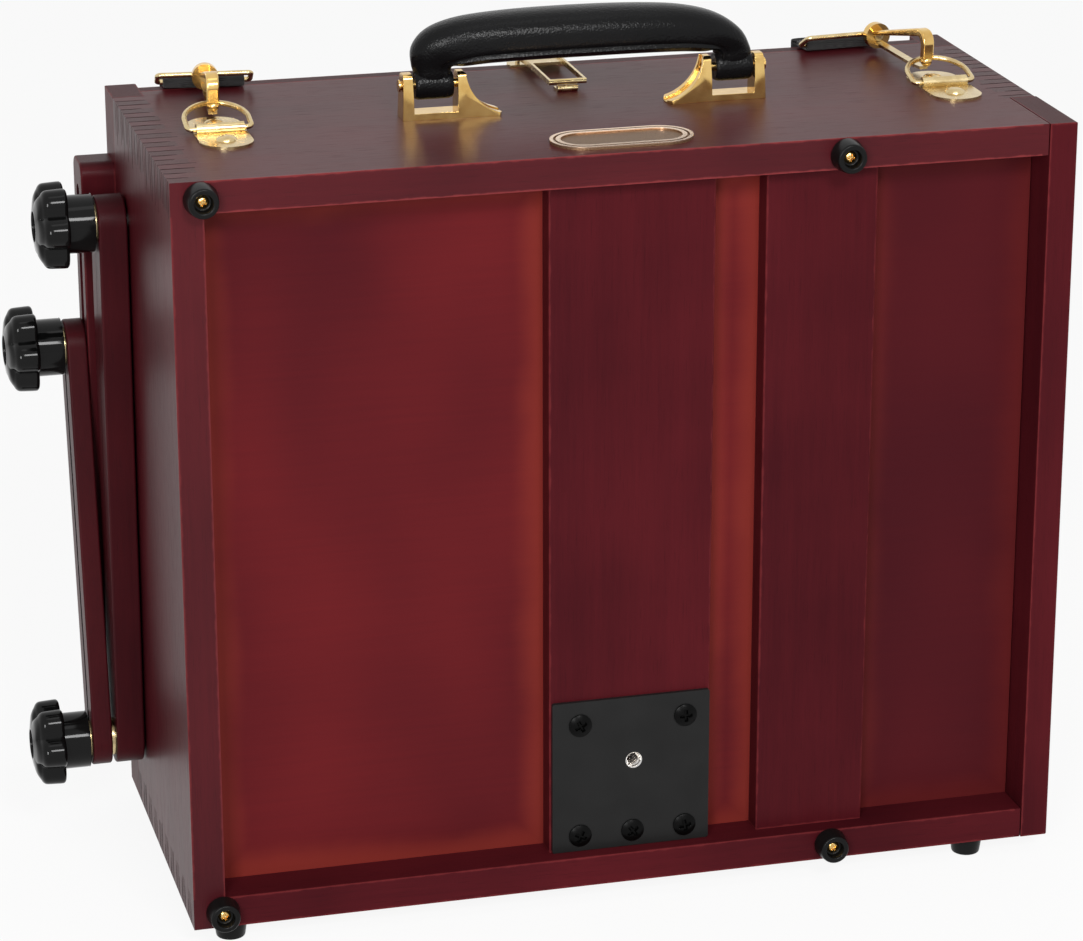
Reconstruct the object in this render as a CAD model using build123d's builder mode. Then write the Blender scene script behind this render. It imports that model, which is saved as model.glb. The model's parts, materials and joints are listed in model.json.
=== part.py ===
from build123d import *
from math import atan2, cos, degrees, hypot, radians, sin
import os

# A wooden pochade box, standing on its bottom wall as a case does. X runs from the stay side to the drawer
# side, Y from the underside to the lid, and Z up. Sizes are in millimetres. While it is built, the origin is
# the outer corner of the left wall, the underside and the bottom wall.

# ---- Box ----
box_width = 404.0
box_height = 344.0
box_depth = 153.0
wall = 14.3
finger_count = 20
lip = 9.0  # the top and bottom walls reach this far in between the rails of the lid
groove_depth = 4.3
panel_play = 0.2  # between a panel's edge and the bottom of its groove
edge_round = 1.0
underside_recess = 20.0
underside_thickness = 4.0
batten_thickness = 11.0
mount_board_x = (166.0, 241.6)
brace_board_x = (264.7, 316.1)
clearance = 0.3  # between parts that move past each other
running_fit = 0.06  # radial, on pins and bolts

# ---- Drawer and palette ----
drawer_rebate = 2.3  # the top and bottom walls reach this far past the inner face of the right wall
drawer_front_thickness = 13.0
drawer_front_depth = 49.0
drawer_gap = 0.5
drawer_side_thickness = 8.0
drawer_bottom_thickness = 3.0
drawer_bottom_height = 3.0
drawer_length = 372.0
scoop_length = 60.0
scoop_width = 20.0
scoop_depth = 5.0
scoop_round = 3.0
deck_thickness = 4.0
palette_inset = 13.0  # middle of the palette below the front edges of the walls
palette_thickness = 5.0
palette_width = 250.0
palette_groove = 4.5
thumb_hole = 30.0
thumb_hole_inset = 42.0  # its centre from the palette's edge

# ---- Lid ----
lid_gap = 0.3
lid_panel_thickness = 7.0
lid_rail_depth = 24.0
lid_tenon_inset = 4.0
hinge_length = 50.0
hinge_from_side = 100.0  # middle of each hinge from its side of the box
hinge_knuckles = 5
hinge_knuckle_gap = 0.1
hinge_leaf = 1.2
hinge_leaf_height = 11.0
hinge_barrel_radius = 2.6
hinge_barrel_gap = 0.2  # between the barrel and the bottom wall
hinge_pin_radius = 1.3
hinge_screw_spacing = 17.0
hinge_screw_head_radius = 2.2
hinge_screw_radius = 1.1
hinge_screw_length = 5.5
ledge_z = (20.0, 32.0)
clamp_z = (300.0, 312.0)
canvas_thickness = 3.2
holder_lip = 5.0
holder_lip_thickness = 2.5
clamp_tongue = 3.5
clamp_tongue_inset = 3.0
clamp_tongue_thickness = 3.0

# ---- Stays, on the left side ----
pivot_yz = (box_depth - 27.0, 294.0)  # lower arm on the box
elbow_yz = (box_depth - 20.0, 41.0)  # lower arm to upper arm
slider_yz = (box_depth + 12.0, 225.0)  # upper arm on the slotted rail
arm_width = 25.0
lower_arm_gap = 1.2
lower_arm_thickness = 13.0
upper_arm_gap = 0.4
upper_arm_thickness = 9.2
stay_rail_thickness = 15.8
stay_rail_corner = 6.0
stay_rail_z = (22.0, 313.5)
slot_z = (150.0, 302.0)
slot_play = 1.05  # on each side of the bolt, because the bolt's path is not quite straight
slot_shift = -0.17
channel_play = 1.35
channel_depth = 5.5
bolt_radius = 3.0
bolt_head_radius = 6.4
bolt_head_thickness = 3.6
arm_bore_fit = 0.1
washer_radius = 8.8
washer_thickness = 1.0
washer_gap = 0.1
elbow_washer_gap = 0.15
knob_hub_radius = 13.2
knob_hub_length = 12.0
knob_head_length = 14.6
knob_lobes = 6
knob_lobe_radius = 6.8
knob_head_radius = 20.0
knob_web_radius = 15.4
knob_rim = ((-1.2, 0.0), (0.2, 1.5), (-0.6, 10.1))  # out from the head radius, up from the foot of the head
knob_crown = (14.0, 1.3)  # radius of a point on the crown, and its drop below the top
knob_cap_radius = 7.0
knob_cap_depth = 1.2
knob_bore_depth = 19.3

# ---- Fittings on the top wall ----
handle_x = 201.2
handle_y = 82.0
handle_pin_height = 15.0
handle_pin_radius = 2.0
handle_pin_fit = 0.08
handle_pin_head = (0.8, 2.7)  # length and radius
bracket_width = 11.0
bracket_top_width = 8.0
bracket_reach = 84.0  # outer face of the outer ears from the middle of the handle
bracket_length = 46.0
bracket_height = 20.5
ear_round = 2.6
bracket_rim = 1.2
bracket_rim_depth = 0.7
bracket_base = 3.0
bracket_flare = 1.4  # the tail is this much wider on each side than the ears
tail_chamfer = 0.6
tail_waist = (9.4, 7.6)  # a point on the tail's slope, from the inner ear
tail_tip = 1.4
tail_end_depth = 2.0
outer_ear_lean = 0.9
ear_lean = 0.4
outer_ear = 5.4
ear_opening = 19.8
inner_ear = 3.4
handle_strap_width = 17.6
handle_strap_play = 0.6
handle_roll_radius = 7.0
# Half of the handle, from one pin to the middle of the grip. Each section has its place from the middle of
# the handle, its height above the pin, the direction it faces in degrees above the horizontal, its thickness
# and its width.
handle_sections = (
    (-69.2, 4.0, 90.0, 17.6, 12.0),
    (-69.2, 8.5, 88.0, 17.8, 13.0),
    (-68.2, 13.0, 66.0, 21.0, 17.0),
    (-62.0, 16.4, 32.0, 22.8, 21.5),
    (-51.0, 18.0, 10.0, 23.3, 24.8),
    (-36.0, 18.7, 3.0, 24.2, 26.8),
    (-18.0, 19.1, 1.0, 24.8, 27.8),
    (0.0, 19.2, 0.0, 25.0, 28.0),
)
section_corner = 0.42  # corner radius as a share of the smaller side of a section
plaque_centre = (box_width / 2 + 0.3, 22.3)
plaque_length = 64.0
plaque_width = 30.0
plaque_thickness = 1.4
plaque_rim = 1.6
plaque_groove = 1.1
plaque_field_inset = 4.8
ring_plate_x = (35.4, box_width - 33.7)
ring_plate_y = box_depth - 77.0
ring_plate_width = 23.5
ring_plate_reach = 27.5
ring_plate_thickness = 1.1
ring_curl_width = 21.2
ring_wire = 2.4
ring_width = 30.8
ring_depth = 24.8
ring_corner = 2.4
ring_tilt = 16.0
rivet_radius = 4.6
rivet_height = 2.2
rivet_length = 5.0
rivet_hole_depth = 6.0
rivet_reach = 14.5  # rivets in front of and behind the curl

# ---- Snap hooks and strap; a hook is drawn from the middle of the ring's wire, with Y towards the lid ----
hook_x = (36.0, box_width - 36.7)
hook_yaw = (-6.4, 5.5)
hook_width = 5.5
hook_edge = 0.8
hook_ball = 2.6
hook_ball_yz = (-4.5, -0.4)
hook_outline = ((48.5, 2.6), (1.0, 14.0), (-7.4, 13.0), (-6.6, 0.6), (-2.9, 0.6), (-3.8, 11.2), (48.5, 0.4))
hook_bends = (0.3, 12.0, 6.0, 0.9, 0.9, 3.5, 0.3)
gate_spine = ((47.8, -3.0), (8.0, -4.4), (-2.0, -4.0))
gate_bend = 20.0
gate_width = 4.0
gate_thickness = 1.4
collar_y = (48.0, 53.0)
collar_radius = 6.0
stem_radius = 2.1
stem_end = 1.0  # the stem reaches this far into the hook, and its bore twice as far
stem_root = 0.5
loop_wire = 2.4
loop_half_width = 22.4
loop_corner = 1.6
loop_offset = (0.0, -12.0)  # the loop of the right hook has slid to one side in its eye
loop_bar_yz = (63.5, -5.2)
strap_width = 37.0
strap_thickness = 1.5
strap_end_reach = 2.7  # its sewn ends go this far past the back of the lid
strap_leg_x = (44.0, box_width - 55.5)
strap_fold = ((5.3, 2.2), (8.3, 1.4), (7.3, -7.0), (0.75, -22.0), (0.75, -44.0))  # from the lid's back top edge
strap_bend = 1.6
strap_overlap = 1.0
strap_run_z = 40.0

# ---- Latch ----
latch_x = box_width / 2
latch_width = 17.7
catch_y = (box_depth - 40.4, box_depth - 34.0)
catch_width = 9.5
latch_sheet = 1.2
latch_roll_radius = 2.1
catch_roll_radius = 1.5
hasp_bar_radius = 1.3
hasp_plate_y = box_depth - 3.0  # nearer the catch the hasp is an open frame
hasp_rail_share = 0.9  # height of a rail's ends as a share of the rolls they run into
latch_pin_y = box_depth + 13.0
latch_pin_rise = 4.2
latch_pin_radius = 1.0
latch_pin_end = 2.0
latch_ear_radius = 2.7
latch_base_margin = 5.0
latch_base_setback = 0.5
latch_flap = 22.0

# ---- Tripod plate and feet ----
plate_x = (167.0, 241.0)
plate_height = 73.4
plate_thickness = 2.0
thread_x = 205.3
thread_z = 56.9
thread_radius = 3.175
bushing_radius = 6.5
bushing_neck_radius = 3.9
bushing_length = 11.0
bushing_mouth = 0.5
plate_screw_radius = 5.3
plate_screw_height = 2.2
plate_screw_length = 10.0
plate_screws_xz = ((180.0, 76.6), (229.5, 76.6), (180.0, 22.2), (204.8, 22.2), (229.5, 22.2))
foot_height = 8.8
foot_base_radius = 7.7
foot_top_radius = 6.5
foot_recess_radius = 4.0
foot_recess_depth = 4.5
foot_x = (13.0, 298.0)
foot_from_edge = 7.7
side_foot_x = (wall + 3.7, box_width - 35.0)
side_foot_y = (10.0, box_depth - 10.0)
foot_screw_head_radius = 2.8
foot_screw_height = 1.6
foot_screw_length = 12.0
pilot_radius = 1.6  # holes for the screws and rivets

# ---- Places worked out from the sizes ----
finger = box_depth / finger_count
inner_right = box_width - wall
inner_top = box_height - wall
drawer_notch = wall - drawer_rebate  # the top and bottom walls stop this much short, in front of the drawer
notch_x = box_width - drawer_notch
lip_y = box_depth + lip
panel_z = (wall - groove_depth, inner_top + groove_depth)
underside_y = (underside_recess, underside_recess + underside_thickness)
deck_y = (drawer_front_depth + lid_gap, drawer_front_depth + lid_gap + deck_thickness)
palette_y = box_depth - palette_inset
palette_slot_y = (palette_y - palette_thickness / 2 - clearance, palette_y + palette_thickness / 2 + clearance)
rail_y = (box_depth + lid_gap, box_depth + lid_gap + lid_rail_depth)
lid_panel_y = (lip_y + lid_gap, lip_y + lid_gap + lid_panel_thickness)
hinge_drop = hinge_barrel_radius + hinge_barrel_gap
hinge_yz = (lip_y + lid_gap / 2, -hinge_drop)
hinge_centres_x = (hinge_from_side, box_width - hinge_from_side)
lower_arm_x = (-lower_arm_gap - lower_arm_thickness, -lower_arm_gap)
upper_arm_x = (-stay_rail_thickness - upper_arm_gap - upper_arm_thickness, -stay_rail_thickness - upper_arm_gap)
arm_bore_radius = bolt_radius + arm_bore_fit
slot_width = 2 * (bolt_radius + slot_play)
channel_width = 2 * (bolt_head_radius + channel_play)
batten_y = (underside_recess - batten_thickness, underside_recess)
plate_z = (wall + panel_play, wall + panel_play + plate_height)
shank_radius = pilot_radius - running_fit


from_base = (Align.CENTER, Align.CENTER, Align.MIN)


def span(limits):
    """Length between two limits."""
    return limits[1] - limits[0]


def middle(limits):
    """Point halfway between two limits."""
    return (limits[0] + limits[1]) / 2


def board(x, y, z, mode=Mode.ADD):
    """A square-edged block between two limits on each axis."""
    with Locations((middle(x), middle(y), middle(z))):
        Box(span(x), span(y), span(z), mode=mode)


def rod(x, y, z, radius, mode=Mode.ADD):
    """A round bar along X between two limits."""
    with Locations(Plane.YZ.offset(x[0])):
        with Locations((y, z)):
            Cylinder(radius, span(x), align=from_base, mode=mode)


def screw_holes_in_edge():
    """Pilot holes of the underside feet in the front edges of the walls."""
    for z in (foot_from_edge, box_height - foot_from_edge):
        for x in foot_x:
            with Locations(Plane.XZ):
                with Locations((x, z)):
                    Cylinder(pilot_radius, 2 * foot_screw_length, mode=Mode.SUBTRACT)


# ---- Walls of the box, joined by fingers ----
with BuildPart() as left_wall:
    with BuildSketch(Plane.YZ):
        with Locations((box_depth / 2, box_height / 2)):
            Rectangle(box_depth, box_height)
        with Locations(((box_depth + finger) / 2, box_height / 2)):
            with GridLocations(2 * finger, inner_top, finger_count // 2, 2):
                Rectangle(finger, wall, mode=Mode.SUBTRACT)
    extrude(amount=wall)
    for y in (underside_y, deck_y):
        board((wall - groove_depth, wall), y, panel_z, mode=Mode.SUBTRACT)
    rod((0, wall), *pivot_yz, arm_bore_radius, mode=Mode.SUBTRACT)
    rod((wall - bolt_head_thickness, wall), *pivot_yz, bolt_head_radius, mode=Mode.SUBTRACT)
    screw_holes_in_edge()

with BuildPart() as right_wall:
    with BuildSketch(Plane.YZ.offset(inner_right)):
        with Locations((middle((deck_y[0], box_depth)), box_height / 2)):
            Rectangle(box_depth - deck_y[0], box_height)
        with Locations(((box_depth + finger) / 2, box_height / 2)):
            with GridLocations(2 * finger, inner_top, finger_count // 2, 2):
                Rectangle(finger, wall, mode=Mode.SUBTRACT)
    extrude(amount=wall)
    board((inner_right, inner_right + groove_depth), deck_y, panel_z, mode=Mode.SUBTRACT)


def end_wall_outline():
    """Outline shared by the top and the bottom wall, seen from above."""
    with Locations((box_width / 2, box_depth / 2)):
        Rectangle(box_width, box_depth)
    with Locations((box_width / 2, middle((box_depth, lip_y)))):
        Rectangle(box_width - 2 * wall, lip)
    with Locations((box_width / 2, (box_depth - finger) / 2)):
        with GridLocations(inner_right, 2 * finger, 2, finger_count // 2):
            Rectangle(wall, finger, mode=Mode.SUBTRACT)
    with Locations((middle((inner_right, notch_x)), deck_y[0] / 2)):
        Rectangle(notch_x - inner_right, deck_y[0])
    with Locations((middle((notch_x, box_width)), deck_y[0] / 2)):
        Rectangle(drawer_notch, deck_y[0], mode=Mode.SUBTRACT)


def end_wall_grooves(inner_z, outer_z):
    """Grooves for the underside panel, the deck and the palette, cut from the inner face at inner_z."""
    deepest = inner_z + groove_depth if outer_z > inner_z else inner_z - groove_depth
    slot_end = inner_z + palette_groove if outer_z > inner_z else inner_z - palette_groove
    groove_z = sorted((inner_z, deepest))
    board((wall - groove_depth, notch_x), underside_y, groove_z, mode=Mode.SUBTRACT)
    board((wall - groove_depth, inner_right + groove_depth), deck_y, groove_z, mode=Mode.SUBTRACT)
    board((wall, inner_right), palette_slot_y, sorted((inner_z, slot_end)), mode=Mode.SUBTRACT)


with BuildPart() as top_wall:
    with BuildSketch(Plane.XY.offset(inner_top)):
        end_wall_outline()
    extrude(amount=wall)
    end_wall_grooves(inner_top, box_height)
    screw_holes_in_edge()
    for x in ring_plate_x:
        with Locations((x, ring_plate_y, box_height)):
            with GridLocations(1, 2 * rivet_reach, 1, 2):
                Cylinder(pilot_radius, 2 * rivet_hole_depth, mode=Mode.SUBTRACT)

with BuildPart() as bottom_wall:
    with BuildSketch(Plane.XY):
        end_wall_outline()
    extrude(amount=wall)
    end_wall_grooves(wall, 0)
    screw_holes_in_edge()
    for x in side_foot_x:
        for y in side_foot_y:
            with Locations((x, y, 0)):
                Cylinder(pilot_radius, 2 * foot_screw_length, mode=Mode.SUBTRACT)
    for x in hinge_centres_x:
        leaf_x = (x - hinge_length / 2, x + hinge_length / 2)
        board(leaf_x, (lip_y - hinge_leaf, lip_y), (0, hinge_leaf_height), mode=Mode.SUBTRACT)
        with Locations(Plane.XZ.offset(-lip_y)):
            with Locations((x, hinge_leaf_height / 2)):
                with GridLocations(hinge_screw_spacing, 1, 3, 1):
                    Cylinder(hinge_screw_radius, 2 * hinge_screw_length, mode=Mode.SUBTRACT)

# ---- Panels and battens between the walls ----
with BuildPart() as underside_panel:
    z = (panel_z[0] + panel_play, panel_z[1] - panel_play)
    board((wall - groove_depth + panel_play, notch_x), underside_y, z)

with BuildPart() as deck:
    z = (panel_z[0] + panel_play, panel_z[1] - panel_play)
    board((wall - groove_depth + panel_play, inner_right + groove_depth - panel_play), deck_y, z)


def batten(x):
    """A board across the underside, let in between the top and bottom walls."""
    board(x, batten_y, (wall, inner_top))


with BuildPart() as mount_board:
    batten(mount_board_x)
    with Locations(Plane.XZ.offset(-batten_y[0])):
        with Locations((thread_x, thread_z)):
            bushing_seat = bushing_length - plate_thickness
            Cylinder(bushing_radius, 2 * bushing_seat, mode=Mode.SUBTRACT)
        with Locations(*plate_screws_xz):
            Cylinder(pilot_radius, 2 * plate_screw_length, mode=Mode.SUBTRACT)
    outer_edges = mount_board.edges().filter_by(Axis.Z).group_by(Axis.Y)[0].sort_by(Axis.X)
    fillet([outer_edges[0], outer_edges[-1]], edge_round)

with BuildPart() as brace_board:
    batten(brace_board_x)
    fillet(brace_board.edges().filter_by(Axis.Z).group_by(Axis.Y)[0], edge_round)

# ---- Tripod plate ----
with BuildPart() as tripod_plate:
    with BuildSketch(Plane.XZ.offset(-batten_y[0])):
        with Locations((middle(plate_x), middle(plate_z))):
            RectangleRounded(span(plate_x), plate_height, edge_round)
        with Locations((thread_x, thread_z)):
            Circle(bushing_neck_radius, mode=Mode.SUBTRACT)
        with Locations(*plate_screws_xz):
            Circle(pilot_radius, mode=Mode.SUBTRACT)
    extrude(amount=plate_thickness)

with BuildPart() as tripod_bushing:
    plate_face = Plane.XZ.offset(plate_thickness - batten_y[0])
    with Locations(plate_face):
        with Locations((thread_x, thread_z)):
            to_back = (Align.CENTER, Align.CENTER, Align.MAX)
            Cylinder(bushing_neck_radius, plate_thickness, align=to_back)
    with Locations(plate_face.offset(-plate_thickness)):
        with Locations((thread_x, thread_z)):
            Cylinder(bushing_radius, bushing_length - plate_thickness, align=to_back)
            Cylinder(thread_radius, 2 * bushing_length, mode=Mode.SUBTRACT)
    mouth = tripod_bushing.edges().filter_by(GeomType.CIRCLE).group_by(Axis.Y)[0].sort_by(SortBy.RADIUS)[0]
    chamfer(mouth, bushing_mouth)


def round_head_screw(head_radius, head_height, radius, length):
    """A screw with a domed head that seats at the origin and a shank that runs down from it."""
    dome_radius = (head_radius**2 + head_height**2) / (2 * head_height)
    with BuildPart() as screw:
        with BuildSketch(Plane.XZ):
            with BuildLine():
                Polyline((0, head_height), (0, -length), (radius, -length), (radius, 0), (head_radius, 0))
                RadiusArc((head_radius, 0), (0, head_height), -dome_radius)
            make_face()
        revolve(axis=Axis.Z)
    return screw.part


with BuildPart() as plate_screws:
    with Locations(plate_face):
        with Locations(*plate_screws_xz):
            add(round_head_screw(plate_screw_radius, plate_screw_height, shank_radius, plate_screw_length))

# ---- Rubber feet: four on the underside, four on the bottom wall ----
with BuildPart() as foot:
    with BuildSketch(Plane.XZ):
        with BuildLine():
            Polyline(
                (pilot_radius, 0),
                (foot_base_radius, 0),
                (foot_top_radius, foot_height),
                (foot_recess_radius, foot_height),
                (foot_recess_radius, foot_height - foot_recess_depth),
                (pilot_radius, foot_height - foot_recess_depth),
                close=True,
            )
        make_face()
    revolve(axis=Axis.Z)
    rims = foot.edges().filter_by(GeomType.CIRCLE).group_by(Axis.Z)[-1]
    chamfer(rims.sort_by(SortBy.RADIUS)[-1], edge_round)


def foot_places():
    """Where the feet stand: on the front edges of the walls and under the bottom wall."""
    front = [Plane.XZ * Location((x, z, 0)) for x in foot_x for z in (foot_from_edge, box_height - foot_from_edge)]
    below = Plane.XY.rotated((180, 0, 0))
    under = [below * Location((x, -y, 0)) for x in side_foot_x for y in side_foot_y]
    return front + under


with BuildPart() as feet:
    with Locations(*foot_places()):
        add(foot.part)

with BuildPart() as foot_screws:
    with Locations(*foot_places()):
        with Locations((0, 0, foot_height - foot_recess_depth)):
            add(round_head_screw(foot_screw_head_radius, foot_screw_height, shank_radius, foot_screw_length))

# ---- Drawer ----
front_x = (notch_x + drawer_gap, notch_x + drawer_gap + drawer_front_thickness)
tray_x = (front_x[0] - drawer_length, front_x[0])
tray_y = (underside_y[1] + clearance, deck_y[0] - clearance)
tray_z = (wall + 2 * clearance, inner_top - 2 * clearance)
tray_bottom_y = (tray_y[0] + drawer_bottom_height, tray_y[0] + drawer_bottom_height + drawer_bottom_thickness)

with BuildPart() as drawer_front:
    board(front_x, (-drawer_gap, drawer_front_depth), (0, box_height))
    fillet(drawer_front.faces().sort_by(Axis.X)[-1].edges(), edge_round)
    with BuildSketch(Plane.YZ.offset(front_x[1])):
        with Locations((drawer_front_depth / 2, box_height / 2)):
            SlotOverall(scoop_length, scoop_width, rotation=90)
    extrude(amount=-scoop_depth, mode=Mode.SUBTRACT)
    scoop_floor = drawer_front.faces().filter_by(Axis.X).sort_by(Axis.X)[-2]
    fillet(scoop_floor.edges(), scoop_round)

with BuildPart() as drawer_sides:
    for z in ((tray_z[0], tray_z[0] + drawer_side_thickness), (tray_z[1] - drawer_side_thickness, tray_z[1])):
        board(tray_x, tray_y, z)
    groove = (tray_z[0] + drawer_side_thickness / 2, tray_z[1] - drawer_side_thickness / 2)
    board(tray_x, tray_bottom_y, groove, mode=Mode.SUBTRACT)

with BuildPart() as drawer_back:
    inside_z = (tray_z[0] + drawer_side_thickness, tray_z[1] - drawer_side_thickness)
    board((tray_x[0], tray_x[0] + drawer_side_thickness), (tray_bottom_y[1], tray_y[1]), inside_z)

with BuildPart() as drawer_bottom:
    board(tray_x, tray_bottom_y, (groove[0] + panel_play, groove[1] - panel_play))

# ---- Palette: slides in grooves of the top and bottom walls ----
with BuildPart() as palette:
    reach = palette_groove - clearance
    palette_x = (wall + 2 * clearance, wall + 2 * clearance + palette_width)
    palette_face = (palette_y - palette_thickness / 2, palette_y + palette_thickness / 2)
    board(palette_x, palette_face, (wall - reach, inner_top + reach))
    with Locations(Plane.XZ.offset(-palette_y)):
        with Locations((palette_x[1] - thumb_hole_inset, box_height / 2)):
            Cylinder(thumb_hole / 2, 2 * palette_thickness, mode=Mode.SUBTRACT)

# ---- Lid: a panel between two rails ----
with BuildPart() as lid_panel:
    board((wall, inner_right), lid_panel_y, (0, box_height))
    tenon_z = (lid_tenon_inset, box_height - lid_tenon_inset)
    board((wall - groove_depth, inner_right + groove_depth), lid_panel_y, tenon_z)
    for x in hinge_centres_x:
        leaf_x = (x - hinge_length / 2, x + hinge_length / 2)
        leaf_y = (lid_panel_y[0], lid_panel_y[0] + hinge_leaf)
        board(leaf_x, leaf_y, (0, hinge_leaf_height), mode=Mode.SUBTRACT)
        with Locations(Plane.XZ.offset(-lid_panel_y[0])):
            with Locations((x, hinge_leaf_height / 2)):
                with GridLocations(hinge_screw_spacing, 1, 3, 1):
                    Cylinder(hinge_screw_radius, 2 * hinge_screw_length, mode=Mode.SUBTRACT)

clamp_tongue_y = (rail_y[0] + clamp_tongue_inset, rail_y[0] + clamp_tongue_inset + clamp_tongue_thickness)
clamp_groove_y = (clamp_tongue_y[0] - clearance, clamp_tongue_y[1] + clearance)
clamp_groove_z = (ledge_z[1], inner_top - clearance)


def lid_rail(outer_x, inner_x):
    """A side rail of the lid, with a stopped groove for the panel and one for the canvas clamp."""
    inward = 1 if inner_x > outer_x else -1
    board(sorted((outer_x, inner_x)), rail_y, (0, box_height))
    panel_groove = sorted((inner_x, inner_x - inward * groove_depth))
    board(panel_groove, lid_panel_y, tenon_z, mode=Mode.SUBTRACT)
    clamp_groove = sorted((inner_x, inner_x - inward * (clamp_tongue + clearance)))
    board(clamp_groove, clamp_groove_y, clamp_groove_z, mode=Mode.SUBTRACT)


with BuildPart() as lid_rail_left:
    lid_rail(0, wall)
    fillet(lid_rail_left.edges().filter_by(Axis.Z).group_by(Axis.Y)[-1], edge_round)

with BuildPart() as lid_rail_right:
    lid_rail(box_width, inner_right)
    fillet(lid_rail_right.edges().filter_by(Axis.Z).group_by(Axis.Y)[-1], edge_round)


def canvas_holder(z, opens_up, tongue):
    """A strip across the lid that holds a canvas board by its edge under an overhanging lip."""
    x = (wall + clearance, inner_right - clearance)
    y = (lid_panel_y[0] - canvas_thickness - holder_lip_thickness, lid_panel_y[0] - tongue)
    board(x, y, z)
    lip_z = (z[1], z[1] + holder_lip) if opens_up else (z[0] - holder_lip, z[0])
    board(x, (y[0], y[0] + holder_lip_thickness), lip_z)


with BuildPart() as canvas_ledge:
    canvas_holder(ledge_z, True, 0)

with BuildPart() as canvas_clamp:
    canvas_holder(clamp_z, False, clearance)
    for side in ((wall - clamp_tongue, wall + clearance), (inner_right - clearance, inner_right + clamp_tongue)):
        board(side, clamp_tongue_y, clamp_z)

# ---- Butt hinges between the bottom wall and the lid ----
knuckle = hinge_length / hinge_knuckles


def hinge_leaf_at(x, y, knuckles):
    """A leaf let into the face between the limits y, with its knuckles round the hinge axis."""
    board((x - hinge_length / 2, x + hinge_length / 2), y, (0, hinge_leaf_height))
    for k in knuckles:
        start = x - hinge_length / 2 + k * knuckle
        knuckle_x = (start + hinge_knuckle_gap, start + knuckle - hinge_knuckle_gap)
        board(knuckle_x, y, (-hinge_drop, hinge_leaf_height))
        rod(knuckle_x, *hinge_yz, hinge_barrel_radius)
    rod((x - hinge_length, x + hinge_length), *hinge_yz, hinge_pin_radius + running_fit, mode=Mode.SUBTRACT)


def countersunk_screw(radius_play=0):
    """A countersunk screw, its flat head at the origin and its shank running down, or the hole for it."""
    shank = hinge_screw_radius - running_fit + radius_play
    head = hinge_screw_head_radius + radius_play
    with BuildPart() as screw:
        with BuildSketch(Plane.XZ):
            with BuildLine():
                tip = -hinge_screw_length
                Polyline((0, 0), (head, 0), (shank, shank - head), (shank, tip), (0, tip), close=True)
            make_face()
        revolve(axis=Axis.Z)
    return screw.part


def leaf_screw_places(face_y, facing):
    """Places of the screws of both leaves, three in a row, their heads flush with the leaf's face."""
    steps = (-hinge_screw_spacing, 0, hinge_screw_spacing)
    centres = [(x + step, face_y, hinge_leaf_height / 2) for x in hinge_centres_x for step in steps]
    return [Plane(centre, x_dir=(1, 0, 0), z_dir=(0, facing, 0)) for centre in centres]


box_screw_places = leaf_screw_places(lip_y, 1)
lid_screw_places = leaf_screw_places(lid_panel_y[0], -1)

with BuildPart() as hinge_leaves_box:
    for x in hinge_centres_x:
        hinge_leaf_at(x, (lip_y - hinge_leaf, lip_y), range(0, hinge_knuckles, 2))
    with Locations(*box_screw_places):
        add(countersunk_screw(running_fit), mode=Mode.SUBTRACT)

with BuildPart() as hinge_leaves_lid:
    for x in hinge_centres_x:
        hinge_leaf_at(x, (lid_panel_y[0], lid_panel_y[0] + hinge_leaf), range(1, hinge_knuckles, 2))
    with Locations(*lid_screw_places):
        add(countersunk_screw(running_fit), mode=Mode.SUBTRACT)

with BuildPart() as hinge_pins:
    for x in hinge_centres_x:
        rod((x - hinge_length / 2, x + hinge_length / 2), *hinge_yz, hinge_pin_radius)

with BuildPart() as hinge_screws_box:
    with Locations(*box_screw_places):
        add(countersunk_screw())

with BuildPart() as hinge_screws_lid:
    with Locations(*lid_screw_places):
        add(countersunk_screw())

# ---- Stay linkage ----
def arm(start, end, x):
    """A flat bar with round ends from one pivot to another, with a bore at each."""
    length = hypot(end[0] - start[0], end[1] - start[1])
    heading = degrees(atan2(end[1] - start[1], end[0] - start[0]))
    with BuildPart() as bar:
        with BuildSketch(Plane.YZ.offset(x[0])):
            with Locations(((start[0] + end[0]) / 2, (start[1] + end[1]) / 2)):
                SlotCenterToCenter(length, arm_width, rotation=heading)
            with Locations(start, end):
                Circle(arm_bore_radius, mode=Mode.SUBTRACT)
        extrude(amount=span(x))
        outer = [face.outer_wire().edges() for face in bar.faces().filter_by(Axis.X)]
        fillet([edge for edges in outer for edge in edges], edge_round)
    return bar.part


with BuildPart() as lower_arm:
    add(arm(pivot_yz, elbow_yz, lower_arm_x))
    head_seat = (lower_arm_x[1] - bolt_head_thickness - clearance, lower_arm_x[1])
    rod(head_seat, *elbow_yz, bolt_head_radius + running_fit, mode=Mode.SUBTRACT)

with BuildPart() as upper_arm:
    add(arm(elbow_yz, slider_yz, upper_arm_x))

with BuildPart() as stay_rail:
    with BuildSketch(Plane.YZ.offset(-stay_rail_thickness)):
        with Locations((middle(rail_y), middle(stay_rail_z))):
            RectangleRounded(lid_rail_depth, span(stay_rail_z), stay_rail_corner)
        with Locations((slider_yz[0] + slot_shift, middle(slot_z))):
            SlotOverall(span(slot_z), slot_width, rotation=90, mode=Mode.SUBTRACT)
    extrude(amount=stay_rail_thickness)
    with BuildSketch(Plane.YZ.offset(-channel_depth)):
        with Locations((slider_yz[0] + slot_shift, middle(slot_z))):
            SlotOverall(span(slot_z) + channel_width - slot_width, channel_width, rotation=90)
    extrude(amount=channel_depth, mode=Mode.SUBTRACT)
    outline = stay_rail.faces().sort_by(Axis.X)[0].outer_wire().edges()
    fillet(outline, edge_round)


def stay_bolt(head_x, tip_x, place):
    """A bolt along X with a round head against its inner end."""
    rod(head_x, *place, bolt_head_radius - running_fit)
    rod((tip_x, head_x[0]), *place, bolt_radius)


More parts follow.
